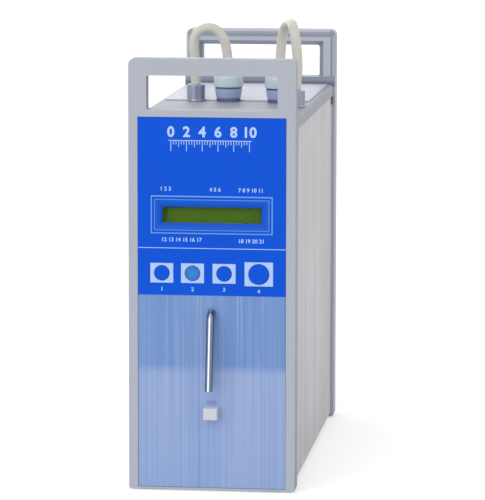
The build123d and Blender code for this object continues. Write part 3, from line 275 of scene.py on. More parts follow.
def metal(name, colour, roughness=0.28, stretch=(1, 1, 1), drift=0.08, metallic=1.0):
    """Worked metal: machining or brushing marks along one direction, and smudges."""
    f = Finish(name)
    marks = f.noise(MARK_WAVES, 4.0, stretch, 0.65)
    smudge = f.noise(70.0, 3.0)
    base = f.mix(marks, shade(colour, 1 - drift), shade(colour, 1 + drift))
    rough = roughness + 0.16 * (marks - 0.5) + 0.12 * (smudge - 0.5)
    bump = f.bump(marks, 0.15, MARK_DEPTH)
    return f.surface(base, rough, bump, Metallic=metallic)


def rubber(name, colour, roughness=0.75):
    """Soft rubber with talc in its grain."""
    f = Finish(name)
    grain = f.noise(1500.0, 3.0)
    talc = f.ramp(f.noise(120.0, 5.0), 0.5, 0.75)
    base = f.mix(0.35 * talc, colour, shade(colour, 2.2))
    rough = roughness + 0.1 * (grain - 0.5)
    return f.surface(base, rough, f.bump(grain, 0.5, 0.04 * MM))


def printed(name, colour, ground):
    """Screen ink: not quite even, so a little of the ground shows through."""
    f = Finish(name)
    pinholes = f.ramp(f.noise(1800.0, 3.0), 0.6, 0.74, 0.0, 0.35)
    base = f.mix(pinholes, colour, ground)
    bump = f.bump(pinholes, 0.2, MARK_DEPTH)
    return f.surface(base, 0.5 + 0.1 * pinholes, bump)


# Meshes


def finish_mesh(name, shape, material, body=ROOT, smooth=None):
    """Makes an object of a bmesh, paints it and lets it ride on a body."""
    bmesh.ops.recalc_face_normals(shape, faces=shape.faces)
    mesh = bpy.data.meshes.new(name)
    shape.to_mesh(mesh)
    shape.free()
    mesh.materials.append(material)
    piece = bpy.data.objects.new(name, mesh)
    bpy.context.scene.collection.objects.link(piece)
    if smooth is not None:
        mesh.shade_smooth()
        mesh.set_sharp_from_angle(angle=math.radians(smooth))
    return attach(piece, body)


def slab(shape, low, high):
    """Adds a closed box between two corners, in millimetres."""
    low, high = Vector(low), Vector(high)
    made = bmesh.ops.create_cube(shape, size=1.0)["verts"]
    for vert in made:
        vert.co = Vector([(low[i] if vert.co[i] < 0 else high[i]) * MM for i in range(3)])
    return made


def outline(width, height, radius, steps=5):
    """Points of a rectangle with round corners, about its middle."""
    points = []
    for turn, (sx, sz) in enumerate(((1, 1), (-1, 1), (-1, -1), (1, -1))):
        cx, cz = sx * (width / 2 - radius), sz * (height / 2 - radius)
        for step in range(steps + 1):
            angle = math.pi / 2 * (turn + step / steps)
            points.append((cx + radius * math.cos(angle), cz + radius * math.sin(angle)))
    return points


def loft(shape, loops):
    """Joins loops of points in millimetres by rows of quads, and the last loop to the first."""
    rows = [[shape.verts.new(Vector(point) * MM) for point in loop] for loop in loops]
    for first, second in zip(rows, rows[1:] + rows[:1]):
        for index in range(len(first)):
            after = (index + 1) % len(first)
            shape.faces.new((first[index], first[after], second[after], second[index]))


def solids(node):
    """Low and high corners, in millimetres, of each separate solid of a carried-over node."""
    shape = bmesh.new()
    shape.from_mesh(frame["nodes"][node].data)
    bmesh.ops.remove_doubles(shape, verts=shape.verts, dist=WELD)
    left = set(shape.verts)
    boxes = []
    while left:
        reached = [left.pop()]
        for vert in reached:
            joined = {edge.other_vert(vert) for edge in vert.link_edges} & left
            reached.extend(joined)
            left -= joined
        points = [vert.co / MM for vert in reached]
        boxes.append([Vector([pick(axis) for axis in zip(*points)]) for pick in (min, max)])
    shape.free()
    return sorted(boxes, key=lambda box: tuple(box[0]))


def figure(text, height, centre, weight, thickness):
    """A mesh of plain figures that face the front, with a height and centre in millimetres."""
    figure_share = 0.7
    curve = bpy.data.curves.new("figure", "FONT")
    curve.body = text
    curve.size = height * MM / figure_share
    curve.align_x = "CENTER"
    curve.align_y = "CENTER"
    curve.offset = weight * MM
    curve.extrude = thickness * MM / 2
    curve.resolution_u = 4
    holder = bpy.data.objects.new("figure", curve)
    mesh = bpy.data.meshes.new_from_object(holder)
    mesh.transform(Matrix.Rotation(math.pi / 2, 4, "X"))
    mesh.transform(Matrix.Translation(Vector(centre) * MM))
    bpy.data.objects.remove(holder)
    bpy.data.curves.remove(curve)
    return mesh


def paint(material, *nodes):
    """Gives carried-over nodes a finish."""
    for name in nodes:
        mesh = frame["nodes"][name].data
        mesh.materials.clear()
        mesh.materials.append(material)


def soften(width, *nodes, segments=2):
    """Rounds the sharp edges of carried-over nodes by modifiers, with their own meshes left as they are."""
    for name in nodes:
        piece = frame["nodes"][name]
        piece.modifiers.new("weld", "WELD").merge_threshold = WELD
        flat = piece.modifiers.new("flat", "DECIMATE")
        flat.decimate_type = "DISSOLVE"
        flat.angle_limit = math.radians(FLAT_ANGLE)
        edge = piece.modifiers.new("edge", "BEVEL")
        edge.width = width * MM
        edge.segments = segments
        edge.limit_method = "ANGLE"
        edge.angle_limit = math.radians(SHARP_ANGLE)
        piece.modifiers.new("normals", "WEIGHTED_NORMAL")


# Settings


def colour_setting(name, description, default):
    return bpy.props.FloatVectorProperty(
        name=name, description=description, default=srgb(*default), subtype="COLOR", min=0, max=1
    )


def length_setting(name, description, default):
    return bpy.props.FloatProperty(
        name=name, description=description, default=default, subtype="DISTANCE", unit="LENGTH", min=0
    )


def angle_setting(name, description, default):
    return bpy.props.FloatProperty(name=name, description=description, default=default, unit="ROTATION")


class AnalyzerColours(bpy.types.PropertyGroup):
    frame: colour_setting("End frames", "Paint of the two end frames with their handles", (173, 178, 190))
    casing: colour_setting("Casing", "Paint of the bent casing", (204, 204, 209))
    cover: colour_setting("Cover", "Paint of the top cover in front of the ports", (158, 161, 171))
    port_plate: colour_setting("Port plate", "Paint of the light plate round the ports", (194, 199, 214))
    panel: colour_setting("Front plate", "Brushed metal of the lower front", (150, 171, 214))
    panel_top_reflection: colour_setting("Front plate, upper part", "Brushed metal under the keys", (106, 142, 200))
    overlay: colour_setting("Overlay", "Film over the upper front", (0, 83, 214))
    ink: colour_setting("Ink", "Printing on the film", (178, 205, 246))
    screen: colour_setting("Screen", "Display glass", (74, 110, 14))
    hose: colour_setting("Tubes", "Soft tubes on top", (204, 203, 194))
    port_body: colour_setting("Port bodies", "Unions under the caps", (158, 174, 206))
    cap: colour_setting("Port caps", "Caps that turn on the unions", (194, 209, 217))
    rear: colour_setting("Rear plate", "Brushed metal at the back", (176, 180, 186))


class AnalyzerSizes(bpy.types.PropertyGroup):
    hose: length_setting("Tube diameter", "Outside diameter of the soft tubes", 6.2 * MM)
    ink: length_setting("Ink thickness", "How far printing stands off the film", 0.04 * MM)
    figure: length_setting("Figure height", "Height of the small figures on the front", 2.3 * MM)
    scale_figure: length_setting("Scale figure height", "Height of the figures of the top scale", 6.0 * MM)


class AnalyzerStage(bpy.types.PropertyGroup):
    lens: bpy.props.FloatProperty(
        name="Lens", description="Focal length for a 36 mm frame", default=247.0, unit="CAMERA", min=1
    )
    eye: bpy.props.FloatVectorProperty(
        name="Camera", description="Place of the camera", default=(0.25472, -2.13603, 0.41703),
        subtype="TRANSLATION",
    )
    turn: angle_setting("Turn", "Camera's turn to the left", 0.1172)
    tilt: angle_setting("Tilt", "Camera's tilt down", 0.1331)
    roll: angle_setting("Roll", "Camera's roll", 0.0017)
    ambient: bpy.props.FloatProperty(
        name="Ambient", description="Even light from all round", default=0.62, min=0
    )
    lamps: bpy.props.FloatProperty(name="Lamps", description="Factor on all lamps", default=1.0, min=0)


# Operators


class ANALYZER_OT_stage(bpy.types.Operator):
    """Set the camera, the pale floor, the soft lamps and the even light"""

    bl_idname = "analyzer.stage"
    bl_label = "Stage"

    def execute(self, context):
        scene = context.scene
        stage = scene.analyzer_stage
        lens = bpy.data.cameras.new("camera")
        lens.lens = stage.lens
        lens.sensor_width = 36.0
        lens.clip_start = 0.05
        lens.clip_end = 60.0
        camera = bpy.data.objects.new("camera", lens)
        scene.collection.objects.link(camera)
        turned = Matrix.Rotation(stage.turn, 4, "Z") @ Matrix.Rotation(math.pi / 2 - stage.tilt, 4, "X")
        camera.matrix_world = Matrix.Translation(stage.eye) @ turned @ Matrix.Rotation(stage.roll, 4, "Z")
        scene.camera = camera
        self.lamp(context, "key_lamp", (-0.35, -0.8, 0.45), 1.16)
        self.lamp(context, "side_lamp", (0.85, -0.25, 0.4), 0.4)
        self.lamp(context, "rear_lamp", (-0.4, 0.8, 0.4), 0.63)
        self.floor(scene)
        self.sky(scene, stage.ambient)
        scene.view_settings.view_transform = "Standard"
        return {"FINISHED"}

    def lamp(self, context, name, side, strength):
        """Adds one wide, soft lamp that shines from a side and is as strong everywhere."""
        spread = 55.0
        light = bpy.data.lights.new(name, "SUN")
        light.angle = math.radians(spread)
        light.energy = strength * context.scene.analyzer_stage.lamps
        lamp = bpy.data.objects.new(name, light)
        context.scene.collection.objects.link(lamp)
        lamp.location = side
        lamp.rotation_euler = Vector(side).to_track_quat("Z", "Y").to_euler()

    def floor(self, scene):
        """Adds the floor, which shows white and still keeps the object's shadow."""
        brightening = 0.4
        half_side = 24.0
        f = Finish("floor_white")
        ray = f.node("ShaderNodeLightPath", out="Is Camera Ray")
        plain = f.node("ShaderNodeBsdfDiffuse", None, {"Color": opaque(srgb(236, 236, 236))})
        glow = f.node("ShaderNodeEmission", None, {"Color": (1, 1, 1, 1), "Strength": ray * brightening})
        both = f.node("ShaderNodeAddShader", None, {0: plain, 1: glow})
        f.put(f.output.inputs["Surface"], both)
        shape = bmesh.new()
        bmesh.ops.create_grid(shape, x_segments=1, y_segments=1, size=half_side)
        mesh = bpy.data.meshes.new("floor")
        shape.to_mesh(mesh)
        shape.free()
        mesh.materials.append(f.material)
        floor = bpy.data.objects.new("floor", mesh)
        scene.collection.objects.link(floor)

    def sky(self, scene, ambient):
        """Lights evenly, and shows white to the camera and to shiny and clear pieces."""
        world = bpy.data.worlds.new("even_light")
        world.use_nodes = True
        scene.world = world
        tree = world.node_tree
        tree.nodes.clear()
        ray = tree.nodes.new("ShaderNodeLightPath")
        seen = ray.outputs["Is Camera Ray"]
        for kind in ("Is Glossy Ray", "Is Transmission Ray"):
            either = tree.nodes.new("ShaderNodeMath")
            either.operation = "MAXIMUM"
            tree.links.new(seen, either.inputs[0])
            tree.links.new(ray.outputs[kind], either.inputs[1])
            seen = either.outputs[0]
        strength = tree.nodes.new("ShaderNodeMapRange")
        strength.inputs[3].default_value = ambient
        strength.inputs[4].default_value = 1.0
        tree.links.new(seen, strength.inputs[0])
        glow = tree.nodes.new("ShaderNodeBackground")
        glow.inputs["Color"].default_value = (1, 1, 1, 1)
        tree.links.new(strength.outputs[0], glow.inputs["Strength"])
        output = tree.nodes.new("ShaderNodeOutputWorld")
        tree.links.new(glow.outputs[0], output.inputs["Surface"])


# Control points of the soft tubes, in millimetres
LEFT_ROUTE = (
    (-25.7, -5.467, 230.5),
    (-25.7, -5.467, 243.5),
    (-27.8, -5.467, 265.64),
    (-17.2, -5.467, 271.19),
    (-8.6, -5.467, 265.64),
    (-5.1, -5.467, 251.2),
    (-5.1, -5.467, 235.7),
)
RIGHT_ROUTE = (
    (27.7, -11.467, 235.7),
    (27.7, -11.467, 247.4),
    (29.7, -11.467, 270.6),
    (36.25, -26.467, 276.0),
    (40.2, -41.467, 270.6),
    (42.5, -41.467, 249.7),
    (41.0, -41.467, 238.5),
    (41.0, -41.467, 230.5),
)


class ANALYZER_OT_tubes(bpy.types.Operator):
    """Run the two soft tubes from port to port"""

    bl_idname = "analyzer.tubes"
    bl_label = "Soft tubes"

    def execute(self, context):
        colours = context.scene.analyzer_colours
        diameter = context.scene.analyzer_sizes.hose
        f = Finish("tube_silicone")
        cloud = f.noise(140.0, 3.0)
        base = f.mix(cloud, shade(colours.hose, 0.9), shade(colours.hose, 1.06))
        bump = f.bump(f.noise(500.0), 0.15, PEEL_DEPTH)
        silicone = f.surface(
            base, 0.3 + 0.12 * cloud, bump, IOR=1.41, Coat_Weight=0.25, Coat_Roughness=0.2,
            Subsurface_Weight=0.25, Subsurface_Radius=(0.004, 0.004, 0.0035), Subsurface_Scale=0.6,
        )
        for name, route, node, length in (
            ("sample_hose_left", LEFT_ROUTE, "tube_left", 0.0851),
            ("sample_hose_right", RIGHT_ROUTE, "tube_right", 0.1045),
        ):
            curve = bpy.data.curves.new(name, "CURVE")
            curve.dimensions = "3D"
            curve.resolution_u = 16
            curve.bevel_depth = diameter / 2
            curve.bevel_resolution = 8
            curve.use_fill_caps = True
            line = curve.splines.new("NURBS")
            line.points.add(len(route) - 1)
            for point, at in zip(line.points, route):
                point.co = (*(Vector(at) * MM), 1.0)
            line.order_u = 3
            line.use_endpoint_u = True
            curve.materials.append(silicone)
            hose = bpy.data.objects.new(name, curve)
            context.scene.collection.objects.link(hose)
            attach(hose, ROOT)
            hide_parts(node)
        return {"FINISHED"}


class ANALYZER_OT_shells(bpy.types.Operator):
    """Finish the end frames, casing, cover, port plate and feet"""

    bl_idname = "analyzer.shells"
    bl_label = "Shells"

    def execute(self, context):
        colours = context.scene.analyzer_colours
        # The front frame's faces turned to +X carry painted shade
        paint(coated("frame_paint", colours.frame, 0.5, painted_flank=0.8), "front_frame")
        paint(self.banded(colours.frame), "rear_frame")
        paint(self.sheet_paint(colours.casing), "casing")
        paint(coated("cover_paint", colours.cover, 0.5, wear=0.2), "top_cover")
        paint(coated("port_plate_paint", colours.port_plate, 0.42, wear=0.15, drift=0.03), "port_plate")
        paint(rubber("foot_rubber", srgb(40, 40, 42)), "rubber_feet")
        soften(0.9, "front_frame", "rear_frame", segments=3)
        soften(0.25, "port_plate")
        return {"FINISHED"}

    def banded(self, colour):
        """The rear frame's paint, with painted shade on the bevels round the inner face of its handle and
        in bands across that face.
        """
        f = Finish("rear_frame_paint")
        # Heights on the handle, measured down from the frame's top
        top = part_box("rear_frame")[1].z
        root = top - 37.5 * MM
        lip_low, lip_high = top - 5.2 * MM, top - 3.8 * MM
        sill_high, sill_low = top - 30.4 * MM, top - 31.0 * MM
        deep_high, deep_low = top - 33.2 * MM, top - 35.4 * MM
        lean = f.facing(1)
        height = f.axis(2)
        # Painted shade: bevels that lean towards the front, most of all those turned upwards, take a darker
        # copy of the paint
        bevel_shade = (lean < -0.3) * (lean > -0.62) * (height > root)
        bevel_shade = bevel_shade * f.ramp(f.facing(2), -0.7, -0.3, 0.25, 1.0)
        inner = lean < -0.9
        # Painted shade across the inner face: a strip along the top, and from the sill of the opening
        # downwards, deeper again lower still
        lip_shade = inner * f.ramp(height, lip_low, lip_high, 0.0, 0.9)
        above = inner * (height > root)
        sill_shade = above * f.ramp(height, sill_high, sill_low)
        deep = above * f.ramp(height, deep_high, deep_low)
        slow = f.noise(SLOW_WAVES, 3.0)
        pale = f.mix(slow, colour, shade(colour, 1.12))
        bevel_shade_colour = f.mix(slow, srgb(128, 134, 150), srgb(142, 148, 164))
        base = f.mix(bevel_shade, pale, bevel_shade_colour)
        base = f.mix(lip_shade, base, srgb(126, 132, 148))
        base = f.mix(sill_shade, base, srgb(140, 147, 163))
        base = f.mix(deep, base, srgb(104, 110, 127))
        base = f.mix(f.edges(0.6 * MM) * 0.15, base, shade(colour, 1.25))
        rough = 0.5 + 0.1 * (f.noise(CLOUD_WAVES, 4.0) - 0.5)
        return f.surface(base, rough, f.peel(), IOR=PAINT_IOR)

    def sheet_paint(self, colour):
        """The casing's paint over brushed sheet, with faint upright bands."""
        f = Finish("casing_paint")
        bands = f.noise(85.0, 3.0, (0.3, 1.0, 0.03))
        fine = f.noise(420.0, 3.0, (0.3, 1.0, 0.02))
        slow = f.noise(14.0)
        base = f.mix(f.ramp(bands, 0.3, 0.7), shade(colour, 0.84), shade(colour, 1.08))
        base = f.mix(f.ramp(slow, 0.42, 0.66, 0.0, 0.5), base, srgb(190, 185, 188))
        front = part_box("casing")[0].y
        shadow = f.ramp(f.axis(1), front + 4 * MM, front + 24 * MM, 0.6, 0.0)
        base = f.mix(shadow, base, srgb(158, 160, 168))
        base = f.mix(f.edges(0.5 * MM) * 0.3, base, shade(colour, 1.2))
        rough = 0.42 + 0.14 * (fine - 0.5) + 0.08 * (slow - 0.5)
        peel = f.bump(f.noise(1500.0), 0.25, SPARK_DEPTH)
        bump = f.bump(fine, 0.12, SPARK_DEPTH, peel)
        return f.surface(base, rough, bump, IOR=PAINT_IOR)


# Printing on the film, in millimetres from the middle and above the bench
DIVIDER = (146.8, 147.2)
DIVIDER_MARGIN = 0.15
SCALE_LINE = (-26.0, 24.0)
SCALE_FOOT = 211.2
SCALE_THICKNESS = 0.4
SCALE_START = -24.5
SCALE_LENGTH = 47.0
SCALE_FIGURES = 6
SCALE_FIGURE_HEIGHT = 216.3
SCALE_WEIGHT = 0.28
TICKS = 30
TICK_WIDTH = 0.44
LONG_TICK, MIDDLE_TICK, SHORT_TICK = 6.2, 3.6, 2.2
LABEL_WEIGHT = 0.07
LABELS = (
    ("1 2 3", -27.7, 182.4), ("4 5 6", 2.0, 182.2), ("7 8 9 10 11", 23.4, 182.0),
    ("12 13 14 15 16 17", -18.1, 152.0), ("18 19 20 21", 23.7, 151.6),
    ("1", -29.95, 122.3), ("2", -11.5, 122.3), ("3", 7.45, 122.3), ("4", 28.25, 121.6),
)


class ANALYZER_OT_front_panel(bpy.types.Operator):
    """Finish the brushed front plate and the printed blue film"""

    bl_idname = "analyzer.front_panel"
    bl_label = "Front panel"

    def execute(self, context):
        colours = context.scene.analyzer_colours
        sizes = context.scene.analyzer_sizes
        paint(self.brushed(colours), "front_plate")
        film = Finish("overlay_film")
        cloud = film.noise(30.0, 3.0)
        base = film.mix(cloud, shade(colours.overlay, 0.93), shade(colours.overlay, 1.05))
        bump = film.bump(film.noise(3200.0, 1.0), 0.4, SPARK_DEPTH)
        rough = 0.42 + 0.08 * (cloud - 0.5)
        blue = film.surface(base, rough, bump, Specular_IOR_Level=0.12)
        paint(blue, "keypad_overlay")
        ink = printed("overlay_ink", colours.ink, colours.overlay)
        self.print_marks(sizes, ink)
        return {"FINISHED"}

    def brushed(self, colours):
        """Brushed metal, with a painted reflection of blue in its upper part."""
        f = Finish("front_plate_metal")
        streak = f.noise(620.0, 4.0, (1.0, 1.0, 0.006), 0.65)
        band = f.noise(52.0, 2.0, (1.0, 1.0, 0.03))
        fine = f.noise(1700.0, 3.0, (1.0, 1.0, 0.008), 0.7)
        turn_low, turn_high = 71.2 * MM, 76.8 * MM
        score_x, score_half = -7.7 * MM, 0.2 * MM
        # Painted reflection: above this band of heights the plate takes its bluer upper colour
        base = f.mix(f.ramp(f.axis(2), turn_low, turn_high), colours.panel, colours.panel_top_reflection)
        base = f.mix(f.ramp(band, 0.4, 0.7, 0.0, 0.6), base, srgb(134, 162, 210))
        base = f.mix(f.ramp(streak, 0.52, 0.7, 0.0, 0.5), base, srgb(174, 193, 230))
        base = f.mix(f.ramp(streak, 0.48, 0.3, 0.0, 0.5), base, srgb(108, 136, 184))
        score = abs(f.axis(0) - score_x) < score_half
        base = f.mix(score * 0.6, base, srgb(92, 112, 152))
        rough = 0.36 + 0.2 * (fine - 0.5)
        bump = f.bump(fine, 0.2, MARK_DEPTH)
        return f.surface(base, rough, bump, Metallic=0.25)

    def print_marks(self, sizes, ink):
        """Prints lines, plain figures and a scale on the film."""
        low, high = (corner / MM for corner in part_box("keypad_overlay"))
        thick = sizes.ink / MM
        lines = bmesh.new()

        def bar(x_low, x_high, z_low, z_high):
            slab(lines, (x_low, low.y - thick, z_low), (x_high, low.y, z_high))

        bar(low.x + DIVIDER_MARGIN, high.x - DIVIDER_MARGIN, *DIVIDER)
        bar(*SCALE_LINE, SCALE_FOOT, SCALE_FOOT + SCALE_THICKNESS)
        step = TICKS // (SCALE_FIGURES - 1)
        for tick in range(TICKS + 1):
            x = SCALE_START + tick * SCALE_LENGTH / TICKS
            long = LONG_TICK if tick % step == 0 else MIDDLE_TICK if tick % (step // 2) == 0 else SHORT_TICK
            bar(x - TICK_WIDTH / 2, x + TICK_WIDTH / 2, SCALE_FOOT - long, SCALE_FOOT)
        finish_mesh("overlay_lines", lines, ink)
        front = low.y - thick / 2
        meshes = []
        for index in range(SCALE_FIGURES):
            x = SCALE_START + index * SCALE_LENGTH / (SCALE_FIGURES - 1)
            at = (x, front, SCALE_FIGURE_HEIGHT)
            meshes.append(figure(str(2 * index), sizes.scale_figure / MM, at, SCALE_WEIGHT, thick))
        for text, x, z in LABELS:
            meshes.append(figure(text, sizes.figure / MM, (x, front, z), LABEL_WEIGHT, thick))
        figures = bmesh.new()
        for mesh in meshes:
            figures.from_mesh(mesh)
            bpy.data.meshes.remove(mesh)
        finish_mesh("overlay_figures", figures, ink)


class ANALYZER_OT_display(bpy.types.Operator):
    """Build the display's sloping surround and finish its glass and window"""

    bl_idname = "analyzer.display"
    bl_label = "Display"

    def execute(self, context):
        colours = context.scene.analyzer_colours
        self.surround(colours)
        paint(self.glass(colours.screen), "lcd_glass")
        f = Finish("window_acrylic")
        haze = f.noise(200.0, 3.0)
        base = f.mix(haze, srgb(246, 250, 246), srgb(252, 254, 252))
        rough = 0.03 + 0.05 * haze
        clear = f.surface(base, rough, Transmission_Weight=1.0, IOR=1.03)
        paint(clear, "display_window")
        paint(metal("lcd_frame_steel", srgb(60, 62, 64), 0.45, metallic=0.6), "lcd_frame")
        return {"FINISHED"}

    def surround(self, colours):
        """A bezel with a rim and an inner line painted pale as highlights, and faces that slope in to the
        window, painted darker towards it as shade.
        """
        low, high = (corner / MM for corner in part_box("display_bezel"))
        centre = (low + high) / 2
        width, height, deep = high.x - low.x, high.z - low.z, high.y - low.y
        window_low, window_high = (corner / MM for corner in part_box("display_window"))
        gap = 0.3
        inner_width = window_high.x - window_low.x + gap
        inner_height = window_high.z - window_low.z + gap
        rim_end, line_start, line_end, slope_start, slope_end = 0.8, 2.05, 2.6, 2.7, 6.6

        def ring(wide, tall, back, radius):
            return [(centre.x + x, low.y + back, centre.z + z) for x, z in outline(wide, tall, radius)]

        # Inset from the outer edge, depth behind the front and corner radius
        face = (
            (0.0, deep, 0.5), (0.0, deep * 0.35, 0.5), (0.12, 0.22, 0.5), (0.4, 0.03, 0.4),
            (0.75, 0.0, 0.4), (1.9, 0.0, 0.35), (line_start, 0.06, 0.35), (2.55, 0.06, 0.3),
            (slope_start, 0.0, 0.3), (3.1, 0.02, 0.3),
        )
        # Distance out from the window's opening, depth behind the front and corner radius
        throat = (
            (0.9, deep * 0.5, 0.3), (0.15, deep * 0.62, 0.2), (0.0, deep * 0.7, 0.2), (0.0, deep, 0.2),
        )
        loops = []
        for inset, back, radius in face:
            loops.append(ring(width - 2 * inset, height - 2 * inset, back, radius))
        for out, back, radius in throat:
            loops.append(ring(inner_width + 2 * out, inner_height + 2 * out, back, radius))
        shape = bmesh.new()
        loft(shape, loops)
        f = Finish("bezel_plastic")
        x = abs(f.axis(0) - centre.x * MM)
        z = abs(f.axis(2) - centre.z * MM)
        inset = (width / 2 * MM - x).least(height / 2 * MM - z)
        rim = inset < rim_end * MM
        line = (inset > line_start * MM) * (inset < line_end * MM)
        sloped = inset > slope_start * MM
        slope = f.ramp(inset, slope_start * MM, slope_end * MM)
        blue = f.mix(f.noise(60.0), shade(colours.overlay, 0.85), colours.overlay)
        # Painted shade on the sloping faces, deepening towards the window, and a painted highlight on them
        # next to the inner line
        blue = f.mix(slope * sloped, blue, shade(colours.overlay, 0.8))
        blue = f.mix((1 - slope) * sloped * 0.3, blue, srgb(50, 116, 206))
        # Painted highlights: the rim and the inner line are painted pale
        base = f.mix(rim, f.mix(line * 0.8, blue, srgb(92, 150, 230)), srgb(104, 160, 236))
        rough = 0.35 + 0.05 * slope
        bump = f.bump(f.noise(2500.0), 0.2, MARK_DEPTH)
        material = f.surface(base, rough, bump, Specular_IOR_Level=0.15)
        bezel = finish_mesh("display_surround", shape, material, smooth=25)
        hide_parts("display_bezel")

    def glass(self, colour):
        """Display glass with the faint cells and dots of its rows of characters, painted shade towards its
        top and a faint painted glow.
        """
        columns, lines = 16, 2
        dots_across, dots_up = 7, 11
        margin, dot_gap = 0.12, 0.18
        f = Finish("lcd_green")
        low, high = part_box("display_window")
        x = (f.axis(0) - low.x) / (high.x - low.x)
        z = (f.axis(2) - low.z) / (high.z - low.z)
        across = (x * columns).fraction()
        up = (z * lines).fraction()
        cell = (across > margin) * (across < 1 - margin) * (up > margin) * (up < 1 - margin)
        dot_x = (x * (columns * dots_across)).fraction()
        dot_z = (z * (lines * dots_up)).fraction()
        dot = cell * (dot_x > dot_gap) * (dot_z > dot_gap)
        # Painted shade: the glass is darker towards its top
        base = f.mix(f.ramp(z, 0.0, 1.0), shade(colour, 1.04), shade(colour, 0.94))
        base = f.mix(cell * 0.06 + dot * 0.07, base, shade(colour, 0.45))
        rough = 0.35 + 0.1 * f.noise(45.0)
        # Painted glow: the glass emits a little of its own colour
        return f.surface(base, rough, Emission_Color=base, Emission_Strength=0.12, Specular_IOR_Level=0.2)


class ANALYZER_OT_keys(bpy.types.Operator):
    """Finish the four keys and the pale squares round them"""

    bl_idname = "analyzer.keys"
    bl_label = "Keys"

    def execute(self, context):
        colours = context.scene.analyzer_colours
        paint(moulded("surround_plastic", srgb(176, 203, 248), 0.4, shine=0.3), "key_surrounds")
        blue = moulded("key_plastic", colours.overlay, 0.38, shine=0.12)
        paint(blue, "key_1", "key_3", "key_4")
        paint(self.rub_and_highlight(), "key_2")
        soften(0.3, "key_1", "key_2", "key_3", "key_4")
        soften(0.12, "key_surrounds")
        return {"FINISHED"}

    def rub_and_highlight(self):
        """The second key's plastic, rougher where it is rubbed round its middle, and paler there with a
        painted highlight.
        """
        highlight_radius = 4.2 * MM
        low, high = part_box("key_2")
        centre = (low + high) / 2
        f = Finish("key_highlight_plastic")
        places = {0: f.place((1, 0, 1)), 1: (centre.x, 0.0, centre.z)}
        away = f.node("ShaderNodeVectorMath", {"operation": "DISTANCE"}, places, out="Value")
        # Painted highlight: the key is paler round its middle, where it is also rougher from rubbing
        rub_and_highlight = f.ramp(away, 0.0, highlight_radius, 1.0, 0.0)
        base = f.mix(rub_and_highlight, srgb(58, 112, 196), srgb(52, 142, 206))
        rough = 0.34 + 0.12 * rub_and_highlight
        return f.surface(base, rough, f.spark(2.0), Specular_IOR_Level=0.15)


class ANALYZER_OT_intake(bpy.types.Operator):
    """Finish the intake pipe, its gland and the cup rest"""

    bl_idname = "analyzer.intake"
    bl_label = "Intake"

    def execute(self, context):
        paint(self.stainless(), "intake_pipe")
        paint(moulded("gland_enamel", srgb(118, 148, 196), 0.35), "pipe_gland")
        paint(moulded("rest_plastic", srgb(202, 208, 214), 0.4), "cup_rest")
        soften(0.4, "cup_rest", segments=3)
        self.shade_strip(context.scene.analyzer_sizes.ink / MM)
        return {"FINISHED"}

    def shade_strip(self, thick):
        """A darker strip on the front plate just above the rest: painted shade, made with the ink finish.
        """
        half, mark_low, mark_high = 3.1, 53.2, 55.2
        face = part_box("front_plate")[0].y / MM
        shape = bmesh.new()
        slab(shape, (-half, face - thick, mark_low), (half, face, mark_high))
        # Painted shade: a thin darker sheet stands on the plate where shade falls above the rest
        finish_mesh("shade_strip", shape, printed("shade_strip_finish", srgb(128, 138, 200), srgb(146, 170, 212)))

    def stainless(self):
        """Drawn steel pipe with a painted reflection: a bright line along its middle, with darker and bluer
        flanks.
        """
        f = Finish("pipe_stainless")
        low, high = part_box("intake_pipe")
        half = (high.x - low.x) / 2
        off = abs(f.axis(0) - (high.x + low.x) / 2)
        marks = f.noise(1200.0, 4.0, (1, 1, 0.05), 0.65)
        # Painted reflection: the colour goes from bright in the middle to darker and bluer towards the
        # sides
        painted_flank = f.ramp(off / half, 0.0, 0.42)
        base = f.mix(painted_flank, srgb(204, 210, 218), srgb(88, 98, 122))
        base = f.mix(0.3 * marks, base, srgb(150, 160, 180))
        rough = 0.18 + 0.16 * (marks - 0.5)
        bump = f.bump(marks, 0.15, MARK_DEPTH)
        return f.surface(base, rough, bump, Metallic=0.9)


